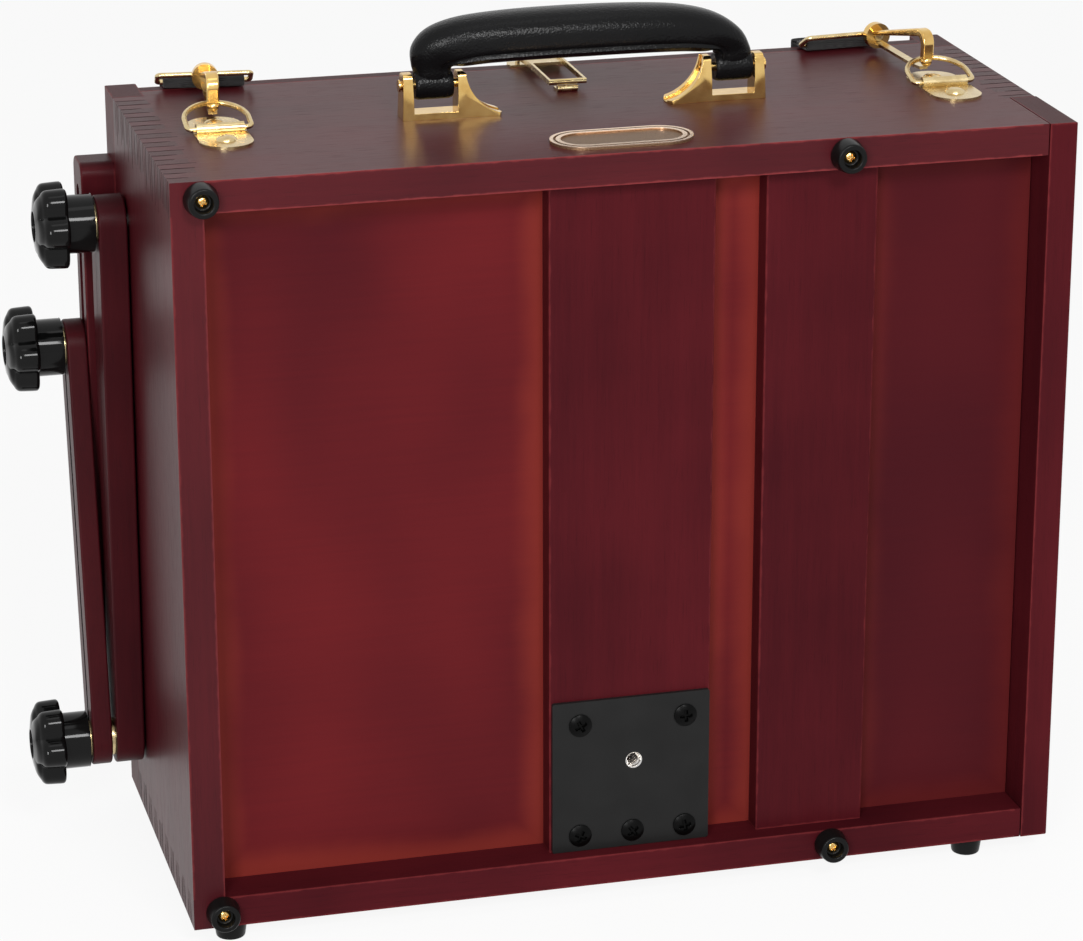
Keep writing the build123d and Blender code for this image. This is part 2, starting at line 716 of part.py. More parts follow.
pivot_washer_x = (lower_arm_x[0] - washer_thickness - washer_gap, lower_arm_x[0] - washer_gap)
outer_washer_x = (upper_arm_x[0] - washer_thickness - washer_gap, upper_arm_x[0] - washer_gap)

with BuildPart() as pivot_bolt:
    stay_bolt((wall - bolt_head_thickness, wall), pivot_washer_x[0] - knob_bore_depth + clearance, pivot_yz)

with BuildPart() as elbow_bolt:
    head_x = (head_seat[0] + washer_gap, head_seat[0] + washer_gap + bolt_head_thickness)
    stay_bolt(head_x, outer_washer_x[0] - knob_bore_depth + clearance, elbow_yz)

with BuildPart() as slot_bolt:
    slot_head_x = (clearance - channel_depth, clearance - channel_depth + bolt_head_thickness)
    stay_bolt(slot_head_x, outer_washer_x[0] - knob_bore_depth + clearance, slider_yz)


def washer(x, place):
    """A plain washer on a stay bolt."""
    rod(x, *place, washer_radius)
    rod(x, *place, bolt_radius + running_fit, mode=Mode.SUBTRACT)


with BuildPart() as pivot_washer:
    washer(pivot_washer_x, pivot_yz)

with BuildPart() as slot_washer:
    washer(outer_washer_x, slider_yz)

with BuildPart() as elbow_washers:
    washer(outer_washer_x, elbow_yz)
    washer((upper_arm_x[1] + elbow_washer_gap, lower_arm_x[0] - elbow_washer_gap), elbow_yz)


def star_knob():
    """A lobed knob on the Z axis: its hub seats at the origin and its domed head ends at the top."""
    top = knob_hub_length + knob_head_length
    rim = [(knob_head_radius + out, knob_hub_length + up) for out, up in knob_rim]
    with BuildPart() as knob:
        with BuildSketch(Plane.XY.offset(knob_hub_length)):
            Circle(knob_web_radius)
            with PolarLocations(knob_head_radius - knob_lobe_radius, knob_lobes):
                Circle(knob_lobe_radius)
        extrude(amount=knob_head_length)
        with BuildSketch(Plane.XZ):
            with BuildLine():
                Polyline((0, top), (0, knob_hub_length), *rim)
                ThreePointArc(rim[-1], (knob_crown[0], top - knob_crown[1]), (0, top))
            make_face()
        revolve(axis=Axis.Z, mode=Mode.INTERSECT)
        Cylinder(knob_hub_radius, knob_hub_length + edge_round, align=from_base)
        hub_rim = knob.edges().filter_by(GeomType.CIRCLE).group_by(Axis.Z)[0]
        fillet(hub_rim, edge_round)
        with Locations((0, 0, top)):
            Cylinder(knob_cap_radius, 2 * knob_cap_depth, mode=Mode.SUBTRACT)
        Cylinder(bolt_radius + running_fit, knob_bore_depth, align=from_base, mode=Mode.SUBTRACT)
    return knob.part


def knob_at(x, place):
    """A star knob whose hub bears on the washer at x."""
    with Locations(Plane(origin=(x, *place), x_dir=(0, 1, 0), z_dir=(-1, 0, 0))):
        add(star_knob())


with BuildPart() as pivot_knob:
    knob_at(pivot_washer_x[0], pivot_yz)

with BuildPart() as elbow_knob:
    knob_at(outer_washer_x[0], elbow_yz)

with BuildPart() as slot_knob:
    knob_at(outer_washer_x[0], slider_yz)

# ---- Handle ----
pin_z = box_height + handle_pin_height
bracket_x = handle_x - bracket_reach


def handle_bracket():
    """The left bracket: a forked base with an ear on each side of the strap and a channelled, flared tail."""
    ear_x = outer_ear + ear_opening
    tail_top = (ear_x + inner_ear + tail_chamfer, bracket_height - tail_chamfer)
    tail_arc = (tail_top, (ear_x + tail_waist[0], tail_waist[1]), (bracket_length, tail_tip))
    with BuildPart() as bracket:
        with BuildSketch(Plane((bracket_x, handle_y, box_height), x_dir=(1, 0, 0), z_dir=(0, -1, 0))):
            with BuildLine():
                Polyline(
                    tail_arc[2],
                    (bracket_length, 0),
                    (0, 0),
                    (outer_ear_lean, bracket_height),
                    (outer_ear - ear_lean, bracket_height),
                    (outer_ear, bracket_base),
                    (ear_x, bracket_base),
                    (ear_x + ear_lean, bracket_height),
                    (ear_x + inner_ear, bracket_height),
                    tail_arc[0],
                )
                ThreePointArc(*tail_arc)
            make_face()
        extrude(amount=bracket_width, both=True)
        half = bracket_width / 2
        low = half + bracket_flare
        end_x = bracket_length - tail_end_depth
        with BuildSketch(Plane((bracket_x, handle_y, box_height))):
            with BuildLine():
                Polyline(
                    (end_x, low),
                    (ear_x + inner_ear, half),
                    (0, half),
                    (0, -half),
                    (ear_x + inner_ear, -half),
                    (end_x, -low),
                )
                ThreePointArc((end_x, -low), (bracket_length, 0), (end_x, low))
            make_face()
        extrude(amount=bracket_height, mode=Mode.INTERSECT)
        with BuildSketch(Plane((bracket_x, handle_y, box_height), x_dir=(0, 1, 0), z_dir=(1, 0, 0))):
            high = bracket_top_width / 2
            tapered = Polygon((-low, 0), (low, 0), (high, bracket_height), (-high, bracket_height), align=None)
            fillet(tapered.vertices().sort_by(Axis.Y)[-2:], ear_round)
        extrude(amount=bracket_length, both=True, mode=Mode.INTERSECT)
        with BuildSketch(Plane((bracket_x, handle_y, box_height), x_dir=(1, 0, 0), z_dir=(0, -1, 0))):
            with BuildLine():
                floor_arc = [(x - bracket_rim_depth, z - bracket_rim_depth) for x, z in tail_arc]
                ThreePointArc(*floor_arc)
                beyond = (bracket_length + bracket_rim, bracket_height + bracket_rim)
                start, end = floor_arc[0], floor_arc[2]
                Polyline(end, (beyond[0], end[1]), beyond, (start[0], beyond[1]), start)
            make_face()
        extrude(amount=bracket_top_width / 2 - bracket_rim, both=True, mode=Mode.SUBTRACT)
        rod((bracket_x, bracket_x + bracket_length), handle_y, pin_z, handle_pin_radius, mode=Mode.SUBTRACT)
    return bracket.part


with BuildPart() as handle_brackets:
    add(handle_bracket())
    mirror(about=Plane.YZ.offset(handle_x))

with BuildPart() as handle_pins:
    rod((bracket_x, bracket_x + outer_ear + ear_opening + inner_ear), handle_y, pin_z, handle_pin_radius)
    rod((bracket_x - handle_pin_head[0], bracket_x), handle_y, pin_z, handle_pin_head[1])
    mirror(about=Plane.YZ.offset(handle_x))


def handle_section(place, rise, heading, thickness, width):
    """One section of the handle, square to the way the handle runs there."""
    facing = (cos(radians(heading)), 0, sin(radians(heading)))
    plane = Plane((handle_x + place, handle_y, pin_z + rise), x_dir=(0, 1, 0), z_dir=facing)
    return plane, width, thickness


with BuildPart() as handle:
    left_half = [handle_section(*section) for section in handle_sections]
    right_half = [
        handle_section(-place, rise, -heading, thickness, width)
        for place, rise, heading, thickness, width in reversed(handle_sections[:-1])
    ]
    for plane, width, thickness in left_half + right_half:
        with BuildSketch(plane):
            RectangleRounded(width, thickness, min(width, thickness) * section_corner)
    loft()
    strap_x = bracket_x + outer_ear + handle_strap_play
    rod((strap_x, strap_x + handle_strap_width), handle_y, pin_z, handle_roll_radius)
    mirrored_x = 2 * handle_x - strap_x - handle_strap_width
    rod((mirrored_x, mirrored_x + handle_strap_width), handle_y, pin_z, handle_roll_radius)
    pin_bore = handle_pin_radius + handle_pin_fit
    rod((bracket_x, bracket_x + 2 * bracket_reach), handle_y, pin_z, pin_bore, mode=Mode.SUBTRACT)

# ---- Plaque: an oval plate with a raised rim and a plain field ----
with BuildPart() as plaque:
    with BuildSketch(Plane.XY.offset(box_height)):
        with Locations(plaque_centre):
            SlotOverall(plaque_length, plaque_width)
    extrude(amount=plaque_thickness)
    with BuildSketch(Plane.XY.offset(box_height + plaque_thickness)):
        with Locations(plaque_centre):
            steps = (plaque_rim, plaque_rim + plaque_groove, plaque_field_inset)
            for inset, mode in zip(steps, (Mode.ADD, Mode.SUBTRACT, Mode.ADD)):
                SlotOverall(plaque_length - 2 * inset, plaque_width - 2 * inset, mode=mode)
    extrude(amount=-plaque_thickness / 2, mode=Mode.SUBTRACT)

# ---- D-rings on their folded plates ----
curl_radius = ring_wire / 2 + clearance + ring_plate_thickness
curl_z = box_height + curl_radius

with BuildPart() as ring_plates:
    for x in ring_plate_x:
        with BuildSketch(Plane.XY.offset(box_height)):
            with Locations((x, ring_plate_y)):
                SlotOverall(2 * ring_plate_reach, ring_plate_width, rotation=90)
                with GridLocations(1, 2 * rivet_reach, 1, 2):
                    Circle(pilot_radius, mode=Mode.SUBTRACT)
        extrude(amount=ring_plate_thickness)
        curl_x = (x - ring_curl_width / 2, x + ring_curl_width / 2)
        rod(curl_x, ring_plate_y, curl_z, curl_radius)
        rod(curl_x, ring_plate_y, curl_z, ring_wire / 2 + clearance, mode=Mode.SUBTRACT)

with BuildPart() as rivets:
    rivet = round_head_screw(rivet_radius, rivet_height, shank_radius, rivet_length)
    for x in ring_plate_x:
        with Locations((x, ring_plate_y, box_height + ring_plate_thickness)):
            with GridLocations(1, 2 * rivet_reach, 1, 2):
                add(rivet)


def d_ring(x):
    """A D-ring of round wire, its bar in the curl of its plate and its bow tilted up towards the lid."""
    tilt = radians(ring_tilt)
    half = (ring_width - ring_wire) / 2
    reach = ring_depth - ring_wire
    ring_plane = Plane((x, ring_plate_y, curl_z), x_dir=(1, 0, 0), z_dir=(0, -sin(tilt), cos(tilt)))
    with BuildPart() as ring:
        with BuildLine(ring_plane) as path:
            FilletPolyline((half, reach - half), (half, 0), (-half, 0), (-half, reach - half), radius=ring_corner)
            ThreePointArc((-half, reach - half), (0, reach), (half, reach - half))
        wire = path.wires()[0]
        with BuildSketch(Plane(wire @ 0, z_dir=wire % 0)):
            Circle(ring_wire / 2)
        sweep(path=wire)
    return ring.part


with BuildPart() as d_ring_left:
    add(d_ring(ring_plate_x[0]))

with BuildPart() as d_ring_right:
    add(d_ring(ring_plate_x[1]))

# ---- Snap hooks: spine, ball, gate, and a collar that turns on the stem of the strap loop ----
wire_apex = Vector(
    0,
    ring_plate_y + (ring_depth - ring_wire) * cos(radians(ring_tilt)),
    curl_z + (ring_depth - ring_wire) * sin(radians(ring_tilt)),
)
left_hook_place = Location((hook_x[0], wire_apex.Y, wire_apex.Z), (0, 0, hook_yaw[0]))
right_hook_place = Location((hook_x[1], wire_apex.Y, wire_apex.Z), (0, 0, hook_yaw[1]))


def along_y(y, radius, mode=Mode.ADD):
    """A round bar on the Y axis between two limits."""
    with Locations(Plane((0, y[0], 0), x_dir=(1, 0, 0), z_dir=(0, 1, 0))):
        Cylinder(radius, span(y), align=from_base, mode=mode)


def snap_hook():
    """The body of a snap hook: a bow and a tapered spine from the ball tip to the swivel collar."""
    with BuildPart() as hook:
        with BuildSketch(Plane.YZ.offset(-hook_width / 2)):
            with BuildLine():
                FilletPolyline(*hook_outline, radius=list(hook_bends), close=True)
            make_face()
        extrude(amount=hook_width)
        fillet([edge for face in hook.faces().filter_by(Axis.X) for edge in face.edges()], hook_edge)
        with Locations((0, *hook_ball_yz)):
            Sphere(hook_ball)
        along_y(collar_y, collar_radius)
        fillet(hook.edges().filter_by(GeomType.CIRCLE).group_by(Axis.Y)[-1], edge_round)
        along_y((collar_y[0] - 2 * stem_end, collar_y[1]), stem_radius + running_fit, mode=Mode.SUBTRACT)
    return hook.part


def hook_gate():
    """The sprung gate that closes the hook from the collar to the ball."""
    with BuildPart() as gate:
        with BuildSketch(Plane.YZ.offset(-gate_width / 2)):
            with BuildLine():
                FilletPolyline(*gate_spine, radius=gate_bend)
            trace(line_width=gate_thickness)
        extrude(amount=gate_width)
    return gate.part


def swivel_loop(offset):
    """The wire loop for the strap, slid sideways by offset, and the stem that holds it in the collar."""
    start_y = collar_y[1] + loop_wire / 2 + clearance
    rise = loop_bar_yz[1]
    depth = hypot(loop_bar_yz[0] - start_y, rise)
    along = Vector(0, (loop_bar_yz[0] - start_y) / depth, rise / depth)
    loop_plane = Plane((0, start_y, 0), x_dir=(1, 0, 0), z_dir=Vector(1, 0, 0).cross(along))
    side = loop_half_width - loop_wire / 2
    with BuildPart() as loop:
        with BuildLine(loop_plane) as path:
            left, right = offset - side, offset + side
            FilletPolyline((right, depth), (right, 0), (left, 0), (left, depth), radius=loop_corner, close=True)
        wire = path.wires()[0]
        with BuildSketch(Plane(wire @ 0, z_dir=wire % 0)):
            Circle(loop_wire / 2)
        sweep(path=wire)
        along_y((collar_y[0] - stem_end, start_y + stem_root), stem_radius)
    return loop.part


def strap_end(offset):
    """The sewn end of the strap: webbing folded round the bar of the loop, running back over the lid."""
    y, z = loop_bar_yz
    inner = loop_wire / 2 + clearance
    outer = inner + strap_thickness
    end = lid_panel_y[1] + strap_end_reach - wire_apex.Y
    with BuildPart() as webbing:
        with BuildSketch(Plane.YZ.offset(offset - strap_width / 2)):
            with BuildLine():
                Polyline((y, z - outer), (end, z - outer), (end, z - outer + 2 * strap_thickness), (y, z + outer))
                ThreePointArc((y, z + outer), (y - outer, z), (y, z - outer))
            make_face()
            with Locations((y, z)):
                Circle(inner, mode=Mode.SUBTRACT)
        extrude(amount=strap_width)
    return webbing.part


with BuildPart() as snap_hook_left:
    with Locations(left_hook_place):
        add(snap_hook())

with BuildPart() as snap_hook_right:
    with Locations(right_hook_place):
        add(snap_hook())

with BuildPart() as hook_gate_left:
    with Locations(left_hook_place):
        add(hook_gate())

with BuildPart() as hook_gate_right:
    with Locations(right_hook_place):
        add(hook_gate())

with BuildPart() as swivel_loop_left:
    with Locations(left_hook_place):
        add(swivel_loop(loop_offset[0]))

with BuildPart() as swivel_loop_right:
    with Locations(right_hook_place):
        add(swivel_loop(loop_offset[1]))

with BuildPart() as strap_end_left:
    with Locations(left_hook_place):
        add(strap_end(loop_offset[0]))

with BuildPart() as strap_end_right:
    with Locations(right_hook_place):
        add(strap_end(loop_offset[1]))

# ---- Strap: over the edge of the lid, down behind its panel and across, with a fold at each corner ----
strap_back_y = lid_panel_y[1] + strap_thickness
strap_half = strap_width / 2
strap_centreline = [(lid_panel_y[1] + back, box_height + up) for back, up in strap_fold]
fold_top = strap_centreline[-1][1] + strap_overlap
with BuildPart() as strap:
    for x in strap_leg_x:
        with BuildSketch(Plane.YZ.offset(x - strap_half)):
            with BuildLine():
                FilletPolyline(*strap_centreline, radius=strap_bend)
            trace(line_width=strap_thickness)
        extrude(amount=strap_width)
    for x, turn in zip(strap_leg_x, (1, -1)):
        with BuildSketch(Plane.XZ.offset(-strap_back_y)):
            with BuildLine():
                Polyline(
                    (x - turn * strap_half, fold_top),
                    (x - turn * strap_half, strap_run_z + strap_half),
                    (x + turn * strap_half, strap_run_z - strap_half),
                    (x + turn * strap_half, fold_top),
                    close=True,
                )
            make_face()
        extrude(amount=strap_thickness)
    with BuildSketch(Plane.XZ.offset(-strap_back_y - strap_thickness)):
        with BuildLine():
            left, right = strap_leg_x
            Polyline(
                (left - strap_half, strap_run_z + strap_half),
                (left + strap_half, strap_run_z - strap_half),
                (right - strap_half, strap_run_z - strap_half),
                (right + strap_half, strap_run_z + strap_half),
                close=True,
            )
        make_face()
    extrude(amount=strap_thickness)

# ---- Latch: a hasp on the lid that reaches over the catch on the top wall ----
latch_pin_z = box_height + latch_pin_rise
catch_roll_z = box_height + catch_roll_radius
hasp_x = (latch_x - latch_width / 2, latch_x + latch_width / 2)

with BuildPart() as latch_catch:
    catch_x = (latch_x - catch_width / 2, latch_x + catch_width / 2)
    board(catch_x, catch_y, (box_height, box_height + latch_sheet))
    rod(catch_x, catch_y[0], catch_roll_z, catch_roll_radius)

with BuildPart() as latch_base:
    base_x = (hasp_x[0] - latch_base_margin, hasp_x[1] + latch_base_margin)
    base_y = (lid_panel_y[0] + latch_base_setback, lid_panel_y[1] + latch_sheet)
    board(base_x, base_y, (box_height, box_height + latch_sheet))
    board(base_x, (lid_panel_y[1], base_y[1]), (box_height - latch_flap, box_height + latch_sheet))
    for ear in (hasp_x[0] - clearance - latch_sheet, hasp_x[1] + clearance):
        rod((ear, ear + latch_sheet), latch_pin_y, latch_pin_z, latch_ear_radius)
        ear_y = (latch_pin_y - latch_roll_radius, latch_pin_y + latch_roll_radius)
        board((ear, ear + latch_sheet), ear_y, (box_height, latch_pin_z))
    rod((hasp_x[0] - latch_pin_end, hasp_x[1] + latch_pin_end), latch_pin_y, latch_pin_z, latch_pin_radius)

with BuildPart() as latch_hasp:
    bar_y = catch_y[0]
    bar_z = catch_roll_z + catch_roll_radius + clearance + hasp_bar_radius
    bar_rise = hasp_bar_radius * hasp_rail_share
    roll_rise = latch_roll_radius * hasp_rail_share
    rod(hasp_x, latch_pin_y, latch_pin_z, latch_roll_radius)
    for rail in ((hasp_x[0], hasp_x[0] + latch_sheet), (hasp_x[1] - latch_sheet, hasp_x[1])):
        with BuildSketch(Plane.YZ.offset(rail[0])):
            with BuildLine():
                Polyline(
                    (latch_pin_y, latch_pin_z + roll_rise),
                    (bar_y, bar_z + bar_rise),
                    (bar_y, bar_z - bar_rise),
                    (hasp_plate_y, bar_z - bar_rise),
                    (latch_pin_y, latch_pin_z - roll_rise),
                    close=True,
                )
            make_face()
        extrude(amount=latch_sheet)
    board(hasp_x, (hasp_plate_y, latch_pin_y), (latch_pin_z - latch_sheet / 2, latch_pin_z + latch_sheet / 2))
    rod(hasp_x, bar_y, bar_z, hasp_bar_radius)
    rod(hasp_x, latch_pin_y, latch_pin_z, latch_pin_radius + running_fit, mode=Mode.SUBTRACT)

# ---- Pieces, with their origin moved to the point on the ground below the middle of the whole box ----
pieces = {
    "left_wall": left_wall, "right_wall": right_wall, "top_wall": top_wall, "bottom_wall": bottom_wall,
    "underside_panel": underside_panel, "mount_board": mount_board, "brace_board": brace_board, "deck": deck,
    "tripod_plate": tripod_plate, "tripod_bushing": tripod_bushing, "plate_screws": plate_screws,
    "feet": feet, "foot_screws": foot_screws,
    "drawer_front": drawer_front, "drawer_sides": drawer_sides, "drawer_back": drawer_back,
    "drawer_bottom": drawer_bottom, "palette": palette,
    "lid_panel": lid_panel, "lid_rail_left": lid_rail_left, "lid_rail_right": lid_rail_right,
    "canvas_ledge": canvas_ledge, "canvas_clamp": canvas_clamp,
    "hinge_leaves_box": hinge_leaves_box, "hinge_leaves_lid": hinge_leaves_lid, "hinge_pins": hinge_pins,
    "hinge_screws_box": hinge_screws_box, "hinge_screws_lid": hinge_screws_lid,
    "stay_rail": stay_rail, "lower_arm": lower_arm, "upper_arm": upper_arm,
    "pivot_bolt": pivot_bolt, "elbow_bolt": elbow_bolt, "slot_bolt": slot_bolt,
    "pivot_washer": pivot_washer, "elbow_washers": elbow_washers, "slot_washer": slot_washer,
    "pivot_knob": pivot_knob, "elbow_knob": elbow_knob, "slot_knob": slot_knob,
    "handle": handle, "handle_brackets": handle_brackets, "handle_pins": handle_pins, "plaque": plaque,
    "ring_plates": ring_plates, "rivets": rivets, "d_ring_left": d_ring_left, "d_ring_right": d_ring_right,
    "snap_hook_left": snap_hook_left, "snap_hook_right": snap_hook_right,
    "hook_gate_left": hook_gate_left, "hook_gate_right": hook_gate_right,
    "swivel_loop_left": swivel_loop_left, "swivel_loop_right": swivel_loop_right,
    "strap_end_left": strap_end_left, "strap_end_right": strap_end_right, "strap": strap,
    "latch_base": latch_base, "latch_hasp": latch_hasp, "latch_catch": latch_catch,
}

corners = [piece.part.bounding_box() for piece in pieces.values()]
low = Vector(*(min(getattr(box.min, axis) for box in corners) for axis in "XYZ"))
high = Vector(*(max(getattr(box.max, axis) for box in corners) for axis in "XYZ"))
shift = Vector(-(low.X + high.X) / 2, -(low.Y + high.Y) / 2, -low.Z)
print("origin moved by", tuple(shift))

os.makedirs("parts", exist_ok=True)
for name, piece in pieces.items():
    placed = piece.part.moved(Location(shift))
    placed.label = name
    export_step(placed, f"parts/{name}.step")
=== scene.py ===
# %% [markdown]
# # A pochade box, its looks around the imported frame
# The real object is a painter's travelling box: walls of stained hardwood joined by fingers, a lid held by a
# folding stay with black star knobs, and polished brass fittings on the wall that carries the handle. The
# frame brings every hard part at its true size and place. This script gives each of them a finish, makes the
# soft parts and the small turned parts anew, and sets up the light and the camera.

# %% Load the frame
import bmesh
import bpy
import json
import numpy as np
from math import radians
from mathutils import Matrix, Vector


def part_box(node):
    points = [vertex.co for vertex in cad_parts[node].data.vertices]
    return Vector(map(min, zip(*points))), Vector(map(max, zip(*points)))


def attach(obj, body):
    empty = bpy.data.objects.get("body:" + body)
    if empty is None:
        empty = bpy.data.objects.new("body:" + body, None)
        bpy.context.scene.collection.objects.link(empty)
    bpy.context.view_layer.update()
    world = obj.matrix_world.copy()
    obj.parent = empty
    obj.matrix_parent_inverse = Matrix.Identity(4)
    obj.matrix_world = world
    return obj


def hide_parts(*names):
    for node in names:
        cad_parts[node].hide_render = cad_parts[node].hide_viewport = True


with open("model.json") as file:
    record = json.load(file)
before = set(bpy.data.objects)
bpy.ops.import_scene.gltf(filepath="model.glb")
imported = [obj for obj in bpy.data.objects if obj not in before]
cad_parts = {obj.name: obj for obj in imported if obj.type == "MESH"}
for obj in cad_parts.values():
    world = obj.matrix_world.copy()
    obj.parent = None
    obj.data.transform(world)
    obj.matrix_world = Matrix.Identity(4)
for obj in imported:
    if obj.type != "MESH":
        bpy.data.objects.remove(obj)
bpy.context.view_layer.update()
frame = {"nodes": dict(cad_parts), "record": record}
nodes = frame["nodes"]
record = frame["record"]
body_of = {node: body for body, members in record["behaviour"]["bodies"].items() for node in members}
print("nodes in the frame:", len(nodes))

# %% [markdown]
# ## One corner for all places
# The box was drawn in millimetres from the outer corner of its left wall, where the underside meets the bottom.
# The frame puts its origin under the middle of the whole object instead. All places below are written from the
# wall's corner, as they would be marked out on the wood, and one function moves them into the frame.

# %% Places on the box
MM = 0.001
corner = np.array(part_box("left_wall")[0])
BOX_WIDTH = 404.0
BOX_DEPTH = 153.0
BOX_HEIGHT = 344.0
WALL = 14.3
INNER_TOP = BOX_HEIGHT - WALL
FINGER = BOX_DEPTH / 20


def at(x, y, z):
    """A place in millimetres from the corner of the box, as metres in the frame."""
    return corner + MM * np.array((x, y, z))


print("corner of the box in the frame:", corner.round(4))

# %% [markdown]
# ## The camera
# The photograph was taken from the front left, a little above the lid of the case as it stands. A camera is
# matched by its place, its direction, its focal length in pixels and the pixel where its axis meets the picture.
# The last two become Blender's lens and shift.

# %% Camera at the photograph's place
PHOTO_WIDTH = 1083
PHOTO_HEIGHT = 941
FOCAL_PIXELS = 3956.0
AXIS_PIXEL = (559.5, 495.5)
CAMERA_PLACE = at(-253.3, -1585.0, 775.2)
CAMERA_LOOK = Vector((0.2422, 0.9103, -0.3358))

camera_data = bpy.data.cameras.new("camera")
camera = bpy.data.objects.new("camera", camera_data)
bpy.context.scene.collection.objects.link(camera)
camera_data.sensor_width = 36.0
camera_data.lens = FOCAL_PIXELS / PHOTO_WIDTH * camera_data.sensor_width
camera_data.shift_x = (PHOTO_WIDTH / 2 - AXIS_PIXEL[0]) / PHOTO_WIDTH
camera_data.shift_y = (AXIS_PIXEL[1] - PHOTO_HEIGHT / 2) / PHOTO_WIDTH
camera_data.clip_start = 0.05
camera.location = CAMERA_PLACE
camera.rotation_euler = CAMERA_LOOK.to_track_quat("-Z", "Y").to_euler()
bpy.context.scene.camera = camera
print("camera at", np.round(CAMERA_PLACE, 3), "with a lens of", round(camera_data.lens, 1), "mm")

# %% [markdown]
# ## Small helpers for materials
# A finish is a graph of nodes, and written out node by node it would hide its own idea. A few helpers keep each
# graph short: one makes a node and links what it is given, one does sums, one makes a soft step and one mixes two
# colours. The others start a material, read places and tilt the surface.


# %% Node helpers
def add_node(tree, kind, inputs=None, **settings):
    """A node of that kind. An input given as a socket is linked, and any other input is set on the socket."""
    made = tree.nodes.new("ShaderNode" + kind)
    for key, value in settings.items():
        setattr(made, key, value)
    for key, value in (inputs or {}).items():
        if isinstance(value, bpy.types.NodeSocket):
            tree.links.new(value, made.inputs[key])
        else:
            made.inputs[key].default_value = value
    return made


def calc(tree, operation, *values, clamp=False):
    """The result of a Math node on one, two or three values or sockets."""
    made = add_node(tree, "Math", dict(enumerate(values)), operation=operation, use_clamp=clamp)
    return made.outputs[0]


def ramp(tree, value, low, high):
    """0 below low, 1 above high and a smooth climb in between."""
    inputs = {"Value": value, "From Min": low, "From Max": high}
    return add_node(tree, "MapRange", inputs, interpolation_type="SMOOTHSTEP").outputs[0]


def mix(tree, amount, first, second):
    """Two colours mixed by an amount from 0 to 1."""
    made = add_node(tree, "Mix", {"Factor": amount}, data_type="RGBA")
    for socket, value in ((made.inputs[6], first), (made.inputs[7], second)):
        if isinstance(value, bpy.types.NodeSocket):
            tree.links.new(value, socket)
        else:
            socket.default_value = (*value, 1.0)
    return made.outputs[2]


# %% Material helpers
def start_material(name):
    """A new material, its node tree and its Principled shader."""
    made = bpy.data.materials.new(name)
    made.use_nodes = True
    return made, made.node_tree, made.node_tree.nodes["Principled BSDF"]


def object_space(tree, scale=(1.0, 1.0, 1.0), start=(0.0, 0.0, 0.0)):
    """Object coordinates in metres, measured from start and then scaled."""
    coordinates = add_node(tree, "TexCoord").outputs["Object"]
    moved = add_node(tree, "VectorMath", {0: coordinates, 1: tuple(start)}, operation="SUBTRACT").outputs[0]
    return add_node(tree, "Mapping", {"Vector": moved, "Scale": scale}).outputs[0]


def axes_from_corner(tree):
    """Object coordinates in millimetres from the corner of the box, as three sockets."""
    from_corner = object_space(tree, scale=(1 / MM,) * 3, start=corner)
    return add_node(tree, "SeparateXYZ", {0: from_corner}).outputs


def noise(tree, vector, scale, detail=2.0, roughness=0.5):
    """A noise value from 0 to 1; scale is in cells per metre of the vector it reads."""
    inputs = {"Vector": vector, "Scale": scale, "Detail": detail, "Roughness": roughness}
    return add_node(tree, "TexNoise", inputs).outputs[0]


def bump(tree, shader, height, distance, strength=1.0):
    """Tilts the shader's normal by a height from 0 to 1 that stands for distance metres."""
    made = add_node(tree, "Bump", {"Height": height, "Distance": distance, "Strength": strength})
    tree.links.new(made.outputs[0], shader.inputs["Normal"])


def paint(name, finish):
    """Gives a CAD node, or a piece of this script, one material."""
    piece = nodes[name] if isinstance(name, str) else name
    piece.data.materials.clear()
    piece.data.materials.append(finish)


# %% [markdown]
# ## Round faces
# A CAD node arrives as loose flat triangles, and polished brass shows every one of them. A copy is merged at its
# corners and shaded smooth up to a limit of angle, so that a round face looks round and a crisp edge stays crisp.
# The node itself may not change, so the copy stands for it and moves with the node's body.


# %% Pieces that stand for CAD nodes
MERGE_WITHIN = 1e-6
CRISP_ABOVE = 38.0


def stand_in(piece, finish, *names):
    """A piece takes the place and the body of the named CAD nodes, and the given finish."""
    if piece.name not in bpy.context.scene.collection.objects:
        bpy.context.scene.collection.objects.link(piece)
    paint(piece, finish)
    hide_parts(*names)
    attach(piece, body_of[names[0]])


def smoothed(name, finish, arris=0.0):
    """A copy of a CAD node, its corners merged within a micrometre and only its edges above the limit crisp.

    An arris in millimetres rounds its crisp edges that far with a bevel.
    """
    mesh = nodes[name].data.copy()
    mesh.name = "smooth_" + name
    merged = bmesh.new()
    merged.from_mesh(mesh)
    bmesh.ops.remove_doubles(merged, verts=merged.verts, dist=MERGE_WITHIN)
    merged.to_mesh(mesh)
    merged.free()
    if "custom_normal" in mesh.attributes:
        mesh.attributes.remove(mesh.attributes["custom_normal"])
    mesh.shade_smooth()
    mesh.set_sharp_from_angle(angle=radians(CRISP_ABOVE))
    made = bpy.data.objects.new("smooth_" + name, mesh)
    stand_in(made, finish, name)
    if arris:
        rounded = made.modifiers.new("arris", "BEVEL")
        rounded.width = arris * MM
        rounded.segments = 2
        rounded.angle_limit = radians(CRISP_ABOVE)
    weighted = made.modifiers.new("weighted", "WEIGHTED_NORMAL")
    weighted.keep_sharp = True
